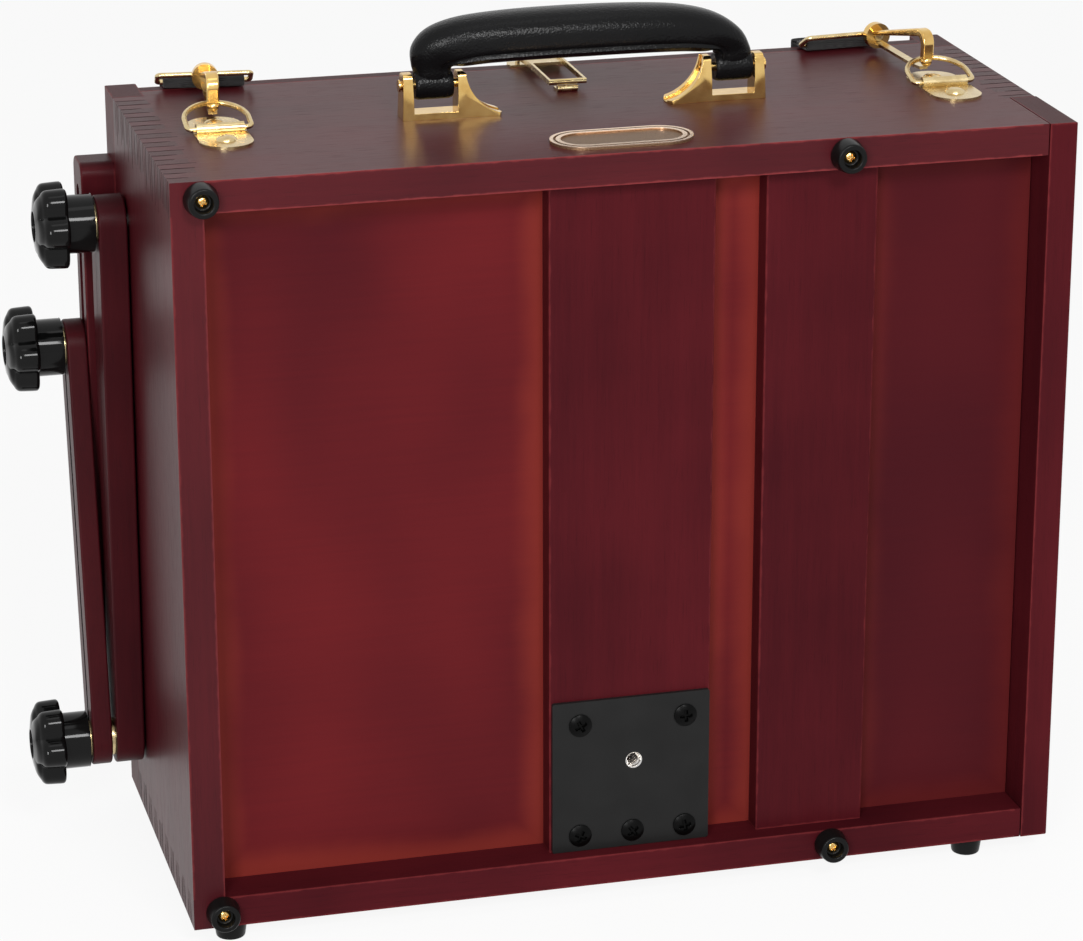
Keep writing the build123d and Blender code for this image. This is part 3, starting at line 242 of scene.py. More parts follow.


# %% [markdown]
# ## Stained hardwood
# The walls are a pale, fine-grained hardwood under a red-brown stain and a satin lacquer. Close up there are
# three scales: cloudy patches a hand wide where the wood drank more stain, fibres that run the length of the
# board, and short dark pores. Every edge is a little lighter, partly where sanding went through the stain and
# partly as a painted highlight where light catches the eased arris. An image could not follow thirteen
# boards of different length, so each board measures its own distance to its edges from its corners, which the
# frame knows.

# %% The colours and scales of the stain
STAIN_DARK = (0.040, 0.0040, 0.0066)
STAIN_LIGHT = (0.098, 0.0092, 0.0130)
ARM_DARK = (0.028, 0.0030, 0.0050)
ARM_LIGHT = (0.078, 0.0074, 0.0104)
# The lighter edge colour: wear through the stain, and a painted highlight where light catches the arris.
EDGE_WEAR_AND_HIGHLIGHT = (0.21, 0.030, 0.032)
STAIN_DEEP = (0.010, 0.0016, 0.0024)
STAIN_SHINE = 0.05
ARM_SHINE = 0.09
POLISHED_SHINE = 0.135
# Cells per metre across the grain: clouds, slow flow, fibres and pores. Along the grain they are stretched.
CLOUD_SCALE, FLOW_SCALE, FIBRE_SCALE, PORE_SCALE = 8.0, 90.0, 700.0, 2200.0
# How much clouds, flow and fibres each add to the stain, and what is taken off their sum.
CLOUD_SHARE, FLOW_SHARE, FIBRE_SHARE, STAIN_LESS = 1.35, 0.40, 0.34, 0.66
GRAIN_STRETCH = 0.035
GRAIN_AXIS = {"X": (1, 0, 0), "Y": (0, 1, 0), "Z": (0, 0, 1)}


# %% Grain and edges of a board
def grain_space(tree, axis, start=(0.0, 0.0, 0.0)):
    """Object coordinates squeezed along the grain, so that round noise becomes long fibres."""
    return object_space(tree, scale=tuple(GRAIN_STRETCH if a else 1.0 for a in GRAIN_AXIS[axis]), start=start)


def edge_distance(tree, low, high):
    """Distance in metres from a point on a block's skin to the block's nearest edge.

    On each axis the nearer of the two faces is |x - middle| short of half the size. One of those three numbers is
    0 on the skin, and the middle one of the three is the distance to the nearest edge.
    """
    place = add_node(tree, "TexCoord").outputs["Object"]
    axes = add_node(tree, "SeparateXYZ", {0: place}).outputs
    depth = []
    for k in range(3):
        offset = calc(tree, "SUBTRACT", axes[k], (low[k] + high[k]) / 2)
        depth.append(calc(tree, "SUBTRACT", (high[k] - low[k]) / 2, calc(tree, "ABSOLUTE", offset)))
    smaller = calc(tree, "MINIMUM", depth[0], depth[1])
    larger = calc(tree, "MAXIMUM", depth[0], depth[1])
    return calc(tree, "MAXIMUM", smaller, calc(tree, "MINIMUM", larger, depth[2]))


def end_grain(tree, axis):
    """1 on the faces that cut across the grain, and 0 on the others."""
    normal = add_node(tree, "TexCoord").outputs["Normal"]
    inputs = {0: normal, 1: GRAIN_AXIS[axis]}
    along = add_node(tree, "VectorMath", inputs, operation="DOT_PRODUCT").outputs["Value"]
    return ramp(tree, calc(tree, "ABSOLUTE", along), 0.6, 0.9)


# %% The stained board
EDGE_FRAY = 0.0016
# How far from an edge its lighter band reaches, in metres: wear and a painted highlight.
EDGE_WEAR_HIGHLIGHT_SPAN = (0.0001, 0.0011)
JOINT_CLEAR = 0.5


def stain(tree, shader, axis, edge_wear_and_highlight, dark=STAIN_DARK, light=STAIN_LIGHT, seed=0.0, shine=STAIN_SHINE):
    """Stained, lacquered wood on coordinates squeezed along the grain."""
    fibres = grain_space(tree, axis, start=(seed, seed, seed))
    shifted = object_space(tree, start=(seed, 2 * seed, -seed))
    cloud = noise(tree, shifted, CLOUD_SCALE, detail=3.0)
    fibre = noise(tree, fibres, FIBRE_SCALE, detail=4.0, roughness=0.62)
    flow = noise(tree, fibres, FLOW_SCALE, detail=3.0)
    pore = ramp(tree, noise(tree, fibres, PORE_SCALE, detail=1.0), 0.60, 0.72)
    body = calc(tree, "MULTIPLY", cloud, CLOUD_SHARE)
    body = calc(tree, "MULTIPLY_ADD", fibre, FIBRE_SHARE, body)
    body = calc(tree, "MULTIPLY_ADD", flow, FLOW_SHARE, body)
    colour = mix(tree, calc(tree, "SUBTRACT", body, STAIN_LESS, clamp=True), dark, light)
    colour = mix(tree, calc(tree, "MULTIPLY", pore, 0.20), colour, STAIN_DEEP)
    colour = mix(tree, calc(tree, "MULTIPLY", end_grain(tree, axis), 0.35), colour, STAIN_DEEP)
    # Edges lightened: wear through the stain, and a painted highlight on the arris.
    colour = mix(tree, edge_wear_and_highlight, colour, EDGE_WEAR_AND_HIGHLIGHT)
    tree.links.new(colour, shader.inputs["Base Color"])
    gloss = calc(tree, "MULTIPLY_ADD", fibre, 0.10, 0.33)
    tree.links.new(calc(tree, "MULTIPLY_ADD", pore, 0.12, gloss), shader.inputs["Roughness"])
    shader.inputs["Specular IOR Level"].default_value = shine
    bump(tree, shader, calc(tree, "SUBTRACT", fibre, pore), 0.00003, 0.6)


def stained_board(name, axis, wear_and_highlight=0.4, seed=0.0, fingers=None, **tone):
    """One board's finish: grain along that axis; its edges lighter, worn and with a painted highlight, but not in
    its finger joints.
    """
    finish, tree, shader = start_material("stain_" + name)
    distance = edge_distance(tree, *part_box(name))
    wander = noise(tree, object_space(tree), 160.0, detail=2.0)
    uneven = calc(tree, "MULTIPLY", calc(tree, "SUBTRACT", wander, 0.5), EDGE_FRAY)
    near = calc(tree, "SUBTRACT", 1.0, ramp(tree, calc(tree, "ADD", distance, uneven), *EDGE_WEAR_HIGHLIGHT_SPAN))
    edge_wear_and_highlight = calc(tree, "MULTIPLY", near, wear_and_highlight)
    if fingers:
        size, side = {"X": (BOX_WIDTH, 0), "Z": (BOX_HEIGHT, 2)}[fingers]
        from_middle = calc(tree, "ABSOLUTE", calc(tree, "SUBTRACT", axes_from_corner(tree)[side], size / 2))
        between = calc(tree, "LESS_THAN", from_middle, size / 2 - WALL - JOINT_CLEAR)
        edge_wear_and_highlight = calc(tree, "MULTIPLY", edge_wear_and_highlight, between)
    stain(tree, shader, axis, edge_wear_and_highlight, seed=seed, **tone)
    return finish


# %% Which board has which grain
FINGERS = {"left_wall": "Z", "right_wall": "Z", "top_wall": "X", "bottom_wall": "X"}
UPRIGHT_BOARDS = ("left_wall", "right_wall", "mount_board", "brace_board", "drawer_front", "lid_rail_left",
                  "lid_rail_right", "lid_panel")
LYING_BOARDS = ("top_wall", "bottom_wall")
POLISHED_BOARDS = ("left_wall", "right_wall", "top_wall")
ARMS = ("lower_arm", "upper_arm")
for count, board in enumerate(UPRIGHT_BOARDS + LYING_BOARDS):
    grain = "X" if board in LYING_BOARDS else "Z"
    shine = POLISHED_SHINE if board in POLISHED_BOARDS else STAIN_SHINE
    # The top wall's front arris takes the strongest painted highlight, with its wear.
    wear_and_highlight = 0.75 if board == "top_wall" else 0.4
    paint(board, stained_board(board, grain, wear_and_highlight, seed=0.37 * count, fingers=FINGERS.get(board), shine=shine))
for count, board in enumerate(ARMS + ("stay_rail",)):
    tone = {"wear_and_highlight": 0.0, "dark": ARM_DARK, "light": ARM_LIGHT} if board in ARMS else {"wear_and_highlight": 0.3}
    smoothed(board, stained_board(board, "Z", seed=8.0 + 0.37 * count, shine=ARM_SHINE, **tone), arris=0.8)
print("stained boards:", len(UPRIGHT_BOARDS) + len(LYING_BOARDS) + len(ARMS) + 1)

# %% [markdown]
# ## The panel in the underside
# The thin panel took the stain more freely, so it is redder than the walls. Wiping could not reach into the
# corners beside the boards that stand on it, and there the clouds give way to a brighter orange band. The band
# could be painted by hand, but the boards' edges are known, so it follows the distance to the nearest of them.

# %% The redder panel
PANEL_DARK = (0.046, 0.0052, 0.0085)
PANEL_LIGHT = (0.122, 0.0106, 0.0128)
PANEL_ORANGE = (0.25, 0.034, 0.022)
BOARD_EDGES_X = (WALL, 166.0, 241.6, 264.7, 316.1, 392.0)
BOARD_EDGES_Z = (WALL, INNER_TOP)
BAND_WIDTH = 15.0
BAND_FRAY = 14.0
# The right bay gets less light from the left: painted shade darkens it from x = 300 to 330 mm on, and weakens its
# band.
BAND_STRENGTH, BAND_LESS_IN_SHADED_BAY = 0.50, -0.36
SHADED_BAY_SPAN = (300.0, 330.0)
PANEL_CLOUD_START = (0.31, 0.0, 0.12)
PANEL_CLOUD_STRETCH = (1.0, 1.0, 0.6)


def panel_finish():
    """The panel's stain: clouds in the middle of each bay, an orange band along every board, and painted shade on
    the right bay.
    """
    finish, tree, shader = start_material("stain_underside_panel")
    axes = axes_from_corner(tree)
    away = [calc(tree, "ABSOLUTE", calc(tree, "SUBTRACT", axis, edge))
            for axis, edges in ((axes[0], BOARD_EDGES_X), (axes[2], BOARD_EDGES_Z)) for edge in edges]
    nearest = away[0]
    for other in away[1:]:
        nearest = calc(tree, "MINIMUM", nearest, other)
    wander = noise(tree, object_space(tree), 22.0, detail=3.0)
    uneven = calc(tree, "MULTIPLY", calc(tree, "SUBTRACT", wander, 0.5), BAND_FRAY)
    band = calc(tree, "SUBTRACT", 1.0, ramp(tree, calc(tree, "ADD", nearest, uneven), 0.0, BAND_WIDTH))
    painted_bay_shade = ramp(tree, axes[0], *SHADED_BAY_SPAN)
    cloud_space = object_space(tree, start=PANEL_CLOUD_START, scale=PANEL_CLOUD_STRETCH)
    cloud = noise(tree, cloud_space, CLOUD_SCALE, detail=2.0, roughness=0.4)
    fibre = noise(tree, grain_space(tree, "X"), 500.0, detail=3.0, roughness=0.6)
    fine = calc(tree, "MULTIPLY", fibre, 0.3)
    amount = calc(tree, "MULTIPLY_ADD", ramp(tree, cloud, 0.28, 0.68), 0.85, fine, clamp=True)
    colour = mix(tree, amount, PANEL_DARK, PANEL_LIGHT)
    # Painted shade over the right bay.
    colour = mix(tree, calc(tree, "MULTIPLY", painted_bay_shade, 0.55), colour, PANEL_DARK)
    strength = calc(tree, "MULTIPLY_ADD", painted_bay_shade, BAND_LESS_IN_SHADED_BAY, BAND_STRENGTH)
    colour = mix(tree, calc(tree, "MULTIPLY", band, strength), colour, PANEL_ORANGE)
    tree.links.new(colour, shader.inputs["Base Color"])
    tree.links.new(calc(tree, "MULTIPLY_ADD", fibre, 0.10, 0.36), shader.inputs["Roughness"])
    shader.inputs["Specular IOR Level"].default_value = STAIN_SHINE
    bump(tree, shader, fibre, 0.00002, 0.5)
    print("board edges beside the panel:", len(away))
    return finish


paint("underside_panel", panel_finish())

# %% [markdown]
# ## Brass, steel and black parts
# The fittings are polished and brass-plated: a mirror with a faint haze and hairlines. Both are noise, in the
# roughness and in the bump, so that they stay fine close up. The black parts differ mostly in gloss. The knobs are
# moulded and mirror-like, the plate is powder-coated, and the feet are rubber.


# %% Metals
# Shares of the colour kept in darker cloudy patches: painted dark reflections that keep the metal from looking
# flat in the white room.
REFLECTION_DARKENING = (0.80, 0.72, 0.60)


def metal(name, colour, haze, hairline=0.08):
    """A polished metal: one colour darkened in patches as painted reflection, a faint cloudy haze and fine
    hairlines in the bump.
    """
    finish, tree, shader = start_material(name)
    shader.inputs["Metallic"].default_value = 1.0
    cloud = noise(tree, object_space(tree), 150.0, detail=3.0)
    fine = noise(tree, object_space(tree, scale=(1.0, 6.0, 6.0)), 1800.0, detail=2.0)
    painted_dark_reflection = tuple(c * share for c, share in zip(colour, REFLECTION_DARKENING))
    # Darker cloudy patches: painted reflection.
    tree.links.new(mix(tree, ramp(tree, cloud, 0.22, 0.70), painted_dark_reflection, colour), shader.inputs["Base Color"])
    tree.links.new(calc(tree, "MULTIPLY_ADD", cloud, haze, haze * 0.4), shader.inputs["Roughness"])
    bump(tree, shader, fine, 0.00001, hairline)
    return finish


brass = metal("polished_brass", (0.76, 0.52, 0.19), 0.18, hairline=0.22)
pale_brass = metal("pale_brass", (0.68, 0.55, 0.31), 0.28, hairline=0.16)
steel = metal("bright_steel", (0.68, 0.68, 0.69), 0.22)

# %% Metal pieces
BRASS_NODES = ("handle_brackets", "handle_pins", "snap_hook_left", "snap_hook_right", "hinge_leaves_box",
               "hinge_leaves_lid", "hinge_pins", "hinge_screws_box", "hinge_screws_lid")
PALE_NODES = ("ring_plates", "d_ring_left", "d_ring_right", "hook_gate_left", "hook_gate_right",
              "swivel_loop_left", "swivel_loop_right", "latch_base", "latch_hasp", "latch_catch", "pivot_washer",
              "elbow_washers", "slot_washer")
STEEL_NODES = ("pivot_bolt", "elbow_bolt", "slot_bolt")
ARRIS = {"handle_brackets": 0.5, "snap_hook_left": 0.5, "snap_hook_right": 0.5, "latch_hasp": 0.3}
for finish, names in ((brass, BRASS_NODES), (pale_brass, PALE_NODES), (steel, STEEL_NODES)):
    for name in names:
        smoothed(name, finish, arris=ARRIS.get(name, 0.0))
print("metal nodes:", len(BRASS_NODES + PALE_NODES + STEEL_NODES))


# %% Black finishes
def black(name, tone, gloss, grain, depth, shine):
    """A black surface: its gloss, the size in metres and depth of its fine texture, and how much it mirrors."""
    finish, tree, shader = start_material(name)
    fine = noise(tree, object_space(tree), 1.0 / grain, detail=2.0)
    wide = noise(tree, object_space(tree), 60.0, detail=2.0)
    tree.links.new(mix(tree, wide, (tone * 0.8,) * 3, (tone * 1.3,) * 3), shader.inputs["Base Color"])
    tree.links.new(calc(tree, "MULTIPLY_ADD", wide, 0.08, gloss), shader.inputs["Roughness"])
    bump(tree, shader, fine, depth, 0.5)
    shader.inputs["Specular IOR Level"].default_value = shine
    return finish


gloss_black = black("knob_plastic", 0.003, 0.05, 0.004, 0.00002, shine=0.17)
plate_black = black("powder_coat", 0.013, 0.30, 0.0004, 0.00004, shine=0.10)
screw_black = black("black_screws", 0.0015, 0.26, 0.0006, 0.00002, shine=0.07)
rubber = black("rubber", 0.004, 0.26, 0.0008, 0.00003, shine=0.13)
paint("tripod_plate", plate_black)
print("black finishes:", ", ".join(finish.name for finish in (gloss_black, plate_black, screw_black, rubber)))

# %% [markdown]
# ## Skins over grids of points
# Every new piece is one or more grids of points: rings of points, one after another along a path. A turned part
# is a profile turned round an axis, a strap is a flat ring carried along its path, and a screw head is a dome
# with a height taken away where the driver fits. Ready-made solids and cuts would do for some of them, but a grid
# takes any form and stays clean. One function joins neighbouring points to faces, and one makes the piece.


# %% From grids to pieces
# Points nearer than this, in metres, are one point.
SAME_POINT = 1e-7


def skin(grid, path_closed=False, capped=False):
    """Points, faces and face-corner places of one grid, where grid[i, j] is point j of closed ring i.

    Each face joins two neighbours on a ring with the same two on the next ring. A closed path joins its last
    ring to its first, and a cap joins an end ring to its own middle.
    """
    rings, around = grid.shape[:2]
    i, j = np.meshgrid(np.arange(rings - (not path_closed)), np.arange(around), indexing="ij")
    i, j = i.ravel(), j.ravel()
    corners = ((i, j), (i + 1, j), (i + 1, j + 1), (i, j + 1))
    faces = np.stack([(a % rings) * around + b % around for a, b in corners], axis=1).tolist()
    flat = np.stack([np.stack((b / around, a / (rings - 1)), axis=1) for a, b in corners], axis=1).reshape(-1, 2)
    points = grid.reshape(-1, 3)
    for ring in (0, rings - 1) if capped else ():
        k = np.arange(around)
        end = np.stack((ring * around + k, ring * around + (k + 1) % around, np.full(around, len(points))), axis=1)
        faces += end.tolist()
        points = np.vstack((points, grid[ring].mean(axis=0)))
        flat = np.vstack((flat, np.zeros((3 * around, 2))))
    return points, faces, flat


def piece_of(name, skins, scale=(1.0, 1.0), limit=45.0):
    """One object made of several skins, its poles merged, its faces turned outwards and smooth below the limit."""
    points, faces, flats, first = [], [], [], 0
    for part_points, part_faces, part_flat in skins:
        points.append(part_points)
        faces += [[first + k for k in face] for face in part_faces]
        flats.append(part_flat)
        first += len(part_points)
    mesh = bpy.data.meshes.new(name)
    mesh.from_pydata(np.vstack(points).tolist(), [], faces)
    layer = mesh.uv_layers.new(name="skin")
    layer.data.foreach_set("uv", (np.vstack(flats) * np.array(scale)).ravel())
    closed = bmesh.new()
    closed.from_mesh(mesh)
    bmesh.ops.remove_doubles(closed, verts=closed.verts, dist=SAME_POINT)
    bmesh.ops.recalc_face_normals(closed, faces=closed.faces)
    closed.to_mesh(mesh)
    closed.free()
    mesh.shade_smooth()
    mesh.set_sharp_from_angle(angle=radians(limit))
    print(name, "faces:", len(mesh.polygons))
    return bpy.data.objects.new(name, mesh)


# %% [markdown]
# ## Seams of the finger joints
# Wood moves across its grain, and after a few years every seam between two fingers shows as a thin dark line of
# stain and glue, proud of the lacquer. Lines drawn in the boards' colour would drown in their sheen, so they are
# real threads: each is a flat ring carried along a straight seam, a little wider and longer here than there.

# %% Threads of glue
SEAM_WIDTH = 0.55
SEAM_RISE = 0.05
SEAM_TAPER = np.array((1.0, 0.9, 1.1, 0.8, 0.15))
SEAM_SWAY = 0.12
THREAD_RING = np.array(((-0.5, -1.0), (0.5, -1.0), (0.5, 1.0), (-0.5, 1.0)))


def seam_skins(place, along, out, seams, length, seed):
    """Threads on one face: at each seam a flat ring of four points is carried from the corner inwards."""
    wander = np.random.default_rng(seed)
    place, along, out = (np.array(v, float) for v in (place, along, out))
    across = np.array((0.0, 1.0, 0.0))
    skins = []
    for seam in seams:
        reach = length * wander.uniform(0.6, 1.2)
        width = SEAM_WIDTH * wander.uniform(0.45, 1.2) * SEAM_TAPER
        steps = np.linspace(0.1, reach, len(SEAM_TAPER))
        sway = wander.normal(0.0, SEAM_SWAY, len(SEAM_TAPER))
        grid = (place + steps[:, None, None] * along + (seam + sway)[:, None, None] * across
                + (THREAD_RING[:, 0] * width[:, None])[..., None] * across
                + (THREAD_RING[:, 1] * SEAM_RISE)[:, None] * out)
        skins.append(skin(at(0, 0, 0) + MM * grid, capped=True))
    return skins


# %% Glue lines
GLUE_DARK, GLUE_LIGHT = (0.004, 0.0012, 0.0015), (0.020, 0.0060, 0.0070)
DRAWER_SIDE = 52.0
every = np.arange(FINGER, BOX_DEPTH - 1.0, FINGER)
beside_drawer = every[every > DRAWER_SIDE]
halves = np.sort(np.concatenate((every, every[::2] - FINGER / 2)))
LEFT, RIGHT, UP, DOWN = (-1, 0, 0), (1, 0, 0), (0, 0, 1), (0, 0, -1)
# Each row: the corner it starts from, the way it runs, the face it lies on, its seams and their length.
LOW_LEFT, HIGH_LEFT, LOW_RIGHT, HIGH_RIGHT = [(x, 0, z) for x in (0, BOX_WIDTH) for z in (0, BOX_HEIGHT)]
SEAM_ROWS = ((HIGH_LEFT, DOWN, LEFT, halves, 18.0), (LOW_LEFT, UP, LEFT, every, 13.5),
             (HIGH_LEFT, RIGHT, UP, every, 14.3), (HIGH_RIGHT, LEFT, UP, beside_drawer, 13.5),
             (LOW_LEFT, RIGHT, DOWN, every, 13.5), (LOW_RIGHT, LEFT, DOWN, beside_drawer, 13.5),
             (HIGH_RIGHT, DOWN, RIGHT, beside_drawer, 13.5), (LOW_RIGHT, UP, RIGHT, beside_drawer, 13.5))
threads = [thread for seed, row in enumerate(SEAM_ROWS, 1) for thread in seam_skins(*row, seed)]
seams = piece_of("finger_seams", threads, limit=30.0)
glue, tree, shader = start_material("glue_lines")
dust = noise(tree, object_space(tree), 700.0, detail=2.0)
tree.links.new(mix(tree, dust, GLUE_DARK, GLUE_LIGHT), shader.inputs["Base Color"])
shader.inputs["Roughness"].default_value = 0.9
shader.inputs["Specular IOR Level"].default_value = 0.02
bump(tree, shader, dust, 0.00005, 0.6)
bpy.context.scene.collection.objects.link(seams)
paint(seams, glue)
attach(seams, "box")
print("glue lines:", len(threads))

# %% [markdown]
# ## Rubber feet and their screws
# Eight feet are turned like tapered buttons, each with a sunk brass screw. The screws of the plate are larger and
# black. A screw head is a dome in polar rings. Its cross could be cut with a boolean, which leaves ragged
# triangles. Here it is a depth taken from the dome: full inside two crossed slots, nothing outside, with a short
# slope between.


# %% Turned parts and their places
def soften(points, radius, steps=5):
    """A profile whose inner corners are replaced by short curves that start and end the radius away from them."""
    points = np.array(points, float)
    before, here, after = points[:-2], points[1:-1], points[2:]
    gap_before = np.linalg.norm(before - here, axis=1, keepdims=True)
    gap_after = np.linalg.norm(after - here, axis=1, keepdims=True)
    start = here + (before - here) / gap_before * np.minimum(radius, gap_before / 2)
    end = here + (after - here) / gap_after * np.minimum(radius, gap_after / 2)
    t = np.linspace(0, 1, steps)[None, :, None]
    curves = (1 - t) ** 2 * start[:, None] + 2 * t * (1 - t) * here[:, None] + t**2 * end[:, None]
    return np.vstack((points[:1], curves.reshape(-1, 2), points[-1:]))


def turned(profile, around=72):
    """A profile of radius and height turned round the height axis."""
    angle = np.linspace(0, 2 * np.pi, around, endpoint=False)
    radius, height = np.array(profile).T
    return np.stack((radius[:, None] * np.cos(angle), radius[:, None] * np.sin(angle),
                     np.repeat(height[:, None], around, axis=1)), axis=-1)


def seated(grid, place, out, along=(1, 0, 0)):
    """A grid in millimetres put at a place on the box, its height along out and its first axis along along."""
    out, along = np.array(out, float), np.array(along, float)
    return at(*place) + MM * (grid @ np.stack((along, np.cross(out, along), out)))


# %% Feet
FRONT = (0, -1, 0)
FOOT_SPOTS = [((x, 0.0, z), FRONT) for x in (13.0, 298.0) for z in (7.7, BOX_HEIGHT - 7.7)]
FOOT_SPOTS += [((x, y, 0.0), DOWN) for x in (18.0, 369.0) for y in (10.0, 143.0)]
FOOT_PROFILE = [(1.6, 0.0), (7.7, 0.0), (6.5, 8.8), (4.0, 8.8), (4.0, 4.3), (1.6, 4.3)]
foot = turned(soften(FOOT_PROFILE, 1.0))
feet = piece_of("rubber_feet", [skin(seated(foot, *spot), path_closed=True) for spot in FOOT_SPOTS])
stand_in(feet, rubber, "feet")


# %% Cross-headed screws
RIM_SHARE = 0.32
SLOPE_SHARE = 0.07
CROSS_FADE = 0.45


def screw_head(radius, height, slot_width, slot_reach, slot_depth, turn):
    """A domed head with a cross. The dome is a cap of a sphere, and the cross takes its depth off the dome."""
    share = np.sin(np.linspace(0, np.pi / 2, 30))[::-1]
    rim = RIM_SHARE * height
    grid = turned(np.stack((radius * share, rim + (height - rim) * (1 - share**2)), axis=1), around=96)
    x = grid[..., 0] * np.cos(turn) + grid[..., 1] * np.sin(turn)
    y = grid[..., 1] * np.cos(turn) - grid[..., 0] * np.sin(turn)
    slope = SLOPE_SHARE * radius
    arms = [np.clip((slot_width / 2 - np.abs(a)) / slope + 0.5, 0, 1)
            * np.clip((slot_reach - np.abs(b)) / slope, 0, 1) for a, b in ((x, y), (y, x))]
    grid[..., 2] -= slot_depth * np.maximum(*arms) * (1 - CROSS_FADE * share[:, None])
    base = turned([(0.0, -0.02 * radius), (radius, -0.02 * radius)], around=96)
    return np.concatenate((base, grid))


# %% Screws of the plate and of the feet
PLATE_SCREW_SPOTS = ((180.0, 76.6), (229.5, 76.6), (180.0, 22.2), (204.8, 22.2), (229.5, 22.2))
PLATE_FACE = 7.0
FOOT_SCREW_SEAT = 4.3
# Radius, height, and the cross's width, reach and depth.
PLATE_SCREW = (5.3, 2.2, 1.3, 2.9, 1.6)
FOOT_SCREW = (2.8, 1.6, 0.75, 1.7, 0.9)
plate_heads = [skin(seated(screw_head(*PLATE_SCREW, turn=0.5 + 1.1 * count), (x, PLATE_FACE, z), FRONT))
               for count, (x, z) in enumerate(PLATE_SCREW_SPOTS)]
stand_in(piece_of("plate_screw_heads", plate_heads, limit=30.0), screw_black, "plate_screws")
foot_heads = []
for count, (place, out) in enumerate(FOOT_SPOTS):
    seat = np.array(place) + FOOT_SCREW_SEAT * np.array(out)
    foot_heads.append(skin(seated(screw_head(*FOOT_SCREW, turn=0.3 + 0.9 * count), seat, out)))
stand_in(piece_of("foot_screw_heads", foot_heads, limit=30.0), brass, "foot_screws")

# %% [markdown]
# ## Rivets and the threaded bushing
# The rivets of the ring plates are low domes. The bushing behind the tripod plate has a quarter-inch thread. A
# thread cut with a swept tool often leaves torn faces, so its bore is a ring of radii that follow a ridge. The
# ridge's height depends on how far a point has come along the axis less the share of a turn it has made, so the
# ridge climbs one pitch in each turn.

# %% Rivets
dome = np.linspace(0, np.pi / 2, 14)
RIVET_PROFILE = [(0.0, -0.4), (4.6, -0.4), (4.6, 0.1)] + list(zip(4.5 * np.cos(dome), 0.2 + 1.9 * np.sin(dome)))
RIVET_SPOTS = [(x, 76.0 + reach, BOX_HEIGHT + 1.1) for x in (35.4, 370.3) for reach in (-14.5, 14.5)]
rivets = piece_of("rivet_heads", [skin(seated(turned(RIVET_PROFILE), spot, UP)) for spot in RIVET_SPOTS])
stand_in(rivets, pale_brass, "rivets")

# %% The threaded bushing
THREAD_PITCH = 1.27
THREAD_OUTER = 3.15
THREAD_DEPTH = 0.55
THREAD_START = 0.5
BUSHING_LENGTH = 11.0
BUSHING_PLACE = (205.3, 7.0, 56.9)
BUSHING_OUTSIDE = [(THREAD_OUTER, -BUSHING_LENGTH), (6.5, -BUSHING_LENGTH), (6.5, -2.0), (3.88, -2.0),
                   (3.88, -0.02), (3.55, -0.02)]


def bushing_grid(around=64, per_pitch=8):
    """The bushing as rings: the threaded bore from mouth to back, then the flange, the neck and the mouth's rim.

    The bore's radius is the outer one less the depth times 1 - |2p - 1|, where p is the share of a pitch that a
    point has come along the axis and round it. The thread fades in over the first pitch.
    """
    bore = np.arange(THREAD_START, BUSHING_LENGTH - 0.3, THREAD_PITCH / per_pitch)[:, None]
    angle = np.linspace(0, 1, around, endpoint=False)
    phase = (bore / THREAD_PITCH - angle) % 1.0
    fade = np.clip((bore - THREAD_START) / THREAD_PITCH, 0, 1)
    radius = THREAD_OUTER - fade * THREAD_DEPTH * (1 - np.abs(2 * phase - 1))
    thread = np.stack((radius * np.cos(2 * np.pi * angle), radius * np.sin(2 * np.pi * angle), 0 * radius - bore),
                      axis=-1)
    return np.concatenate((thread, turned(BUSHING_OUTSIDE, around=around)))


bushing = piece_of("threaded_bushing", [skin(seated(bushing_grid(), BUSHING_PLACE, FRONT), path_closed=True)],
                   limit=30.0)
stand_in(bushing, steel, "tripod_bushing")

# %% [markdown]
# ## Star knobs
# Each knob is moulded in one piece: a round hub, a six-lobed head and a domed crown with a sunk cap. The outline
# of the head is a function of the angle, the larger of a plain circle and the nearest lobe, blended so that the
# hollow between two lobes is soft. Cylinders joined to a disc would leave hard corners there. Every ring of the
# knob then mixes a plain radius with that outline.


# %% Rows made fine
def through(rows, count):
    """Rows of numbers made fine: each stretch is a cubic that leaves and arrives along its neighbours' chords."""
    rows = np.array(rows, float)
    padded = np.vstack((2 * rows[0] - rows[1], rows, 2 * rows[-1] - rows[-2]))
    place = np.linspace(0, len(rows) - 1, count)
    k = np.minimum(place.astype(int), len(rows) - 2)
    t = (place - k)[:, None]
    a, b, c, d = padded[k], padded[k + 1], padded[k + 2], padded[k + 3]
    return 0.5 * (2 * b + (c - a) * t + (2 * a - 5 * b + 4 * c - d) * t**2 + (3 * b - a - 3 * c + d) * t**3)


# %% Knobs
KNOB_LOBES = 6
LOBE_PLACE = 13.2
LOBE_RADIUS = 6.8
WEB_RADIUS = 15.4
SOFTNESS = 14
KNOB_FINE_RINGS = 60
# Each ring of the profile: a plain radius, how much of the outline it takes, an offset and a height.
KNOB_RINGS = [(0.0, 0, 0.0, 0.0), (12.4, 0, 0.0, 0.0), (12.9, 0, 0.0, 0.25), (13.2, 0, 0.0, 0.9),
              (13.2, 0, 0.0, 11.6), (13.4, 0, 0.0, 12.0), (0, 1, -1.9, 12.05), (0, 1, -0.9, 12.25),
              (0, 1, -0.25, 12.8), (0, 1, 0.0, 13.8), (0, 1, -0.15, 17.5), (0, 1, -0.35, 20.8),
              (0, 1, -0.75, 22.0), (0, 1, -1.6, 22.9), (0, 1, -3.0, 23.7), (0, 0.72, 1.1, 24.6),
              (0, 0.42, 5.0, 25.45), (0, 0.16, 6.9, 26.05), (7.9, 0, 0.0, 26.4), (7.15, 0, 0.0, 26.45),
              (6.9, 0, 0.0, 26.2), (6.8, 0, 0.0, 25.4), (6.4, 0, 0.0, 25.2), (0.0, 0, 0.0, 25.2)]


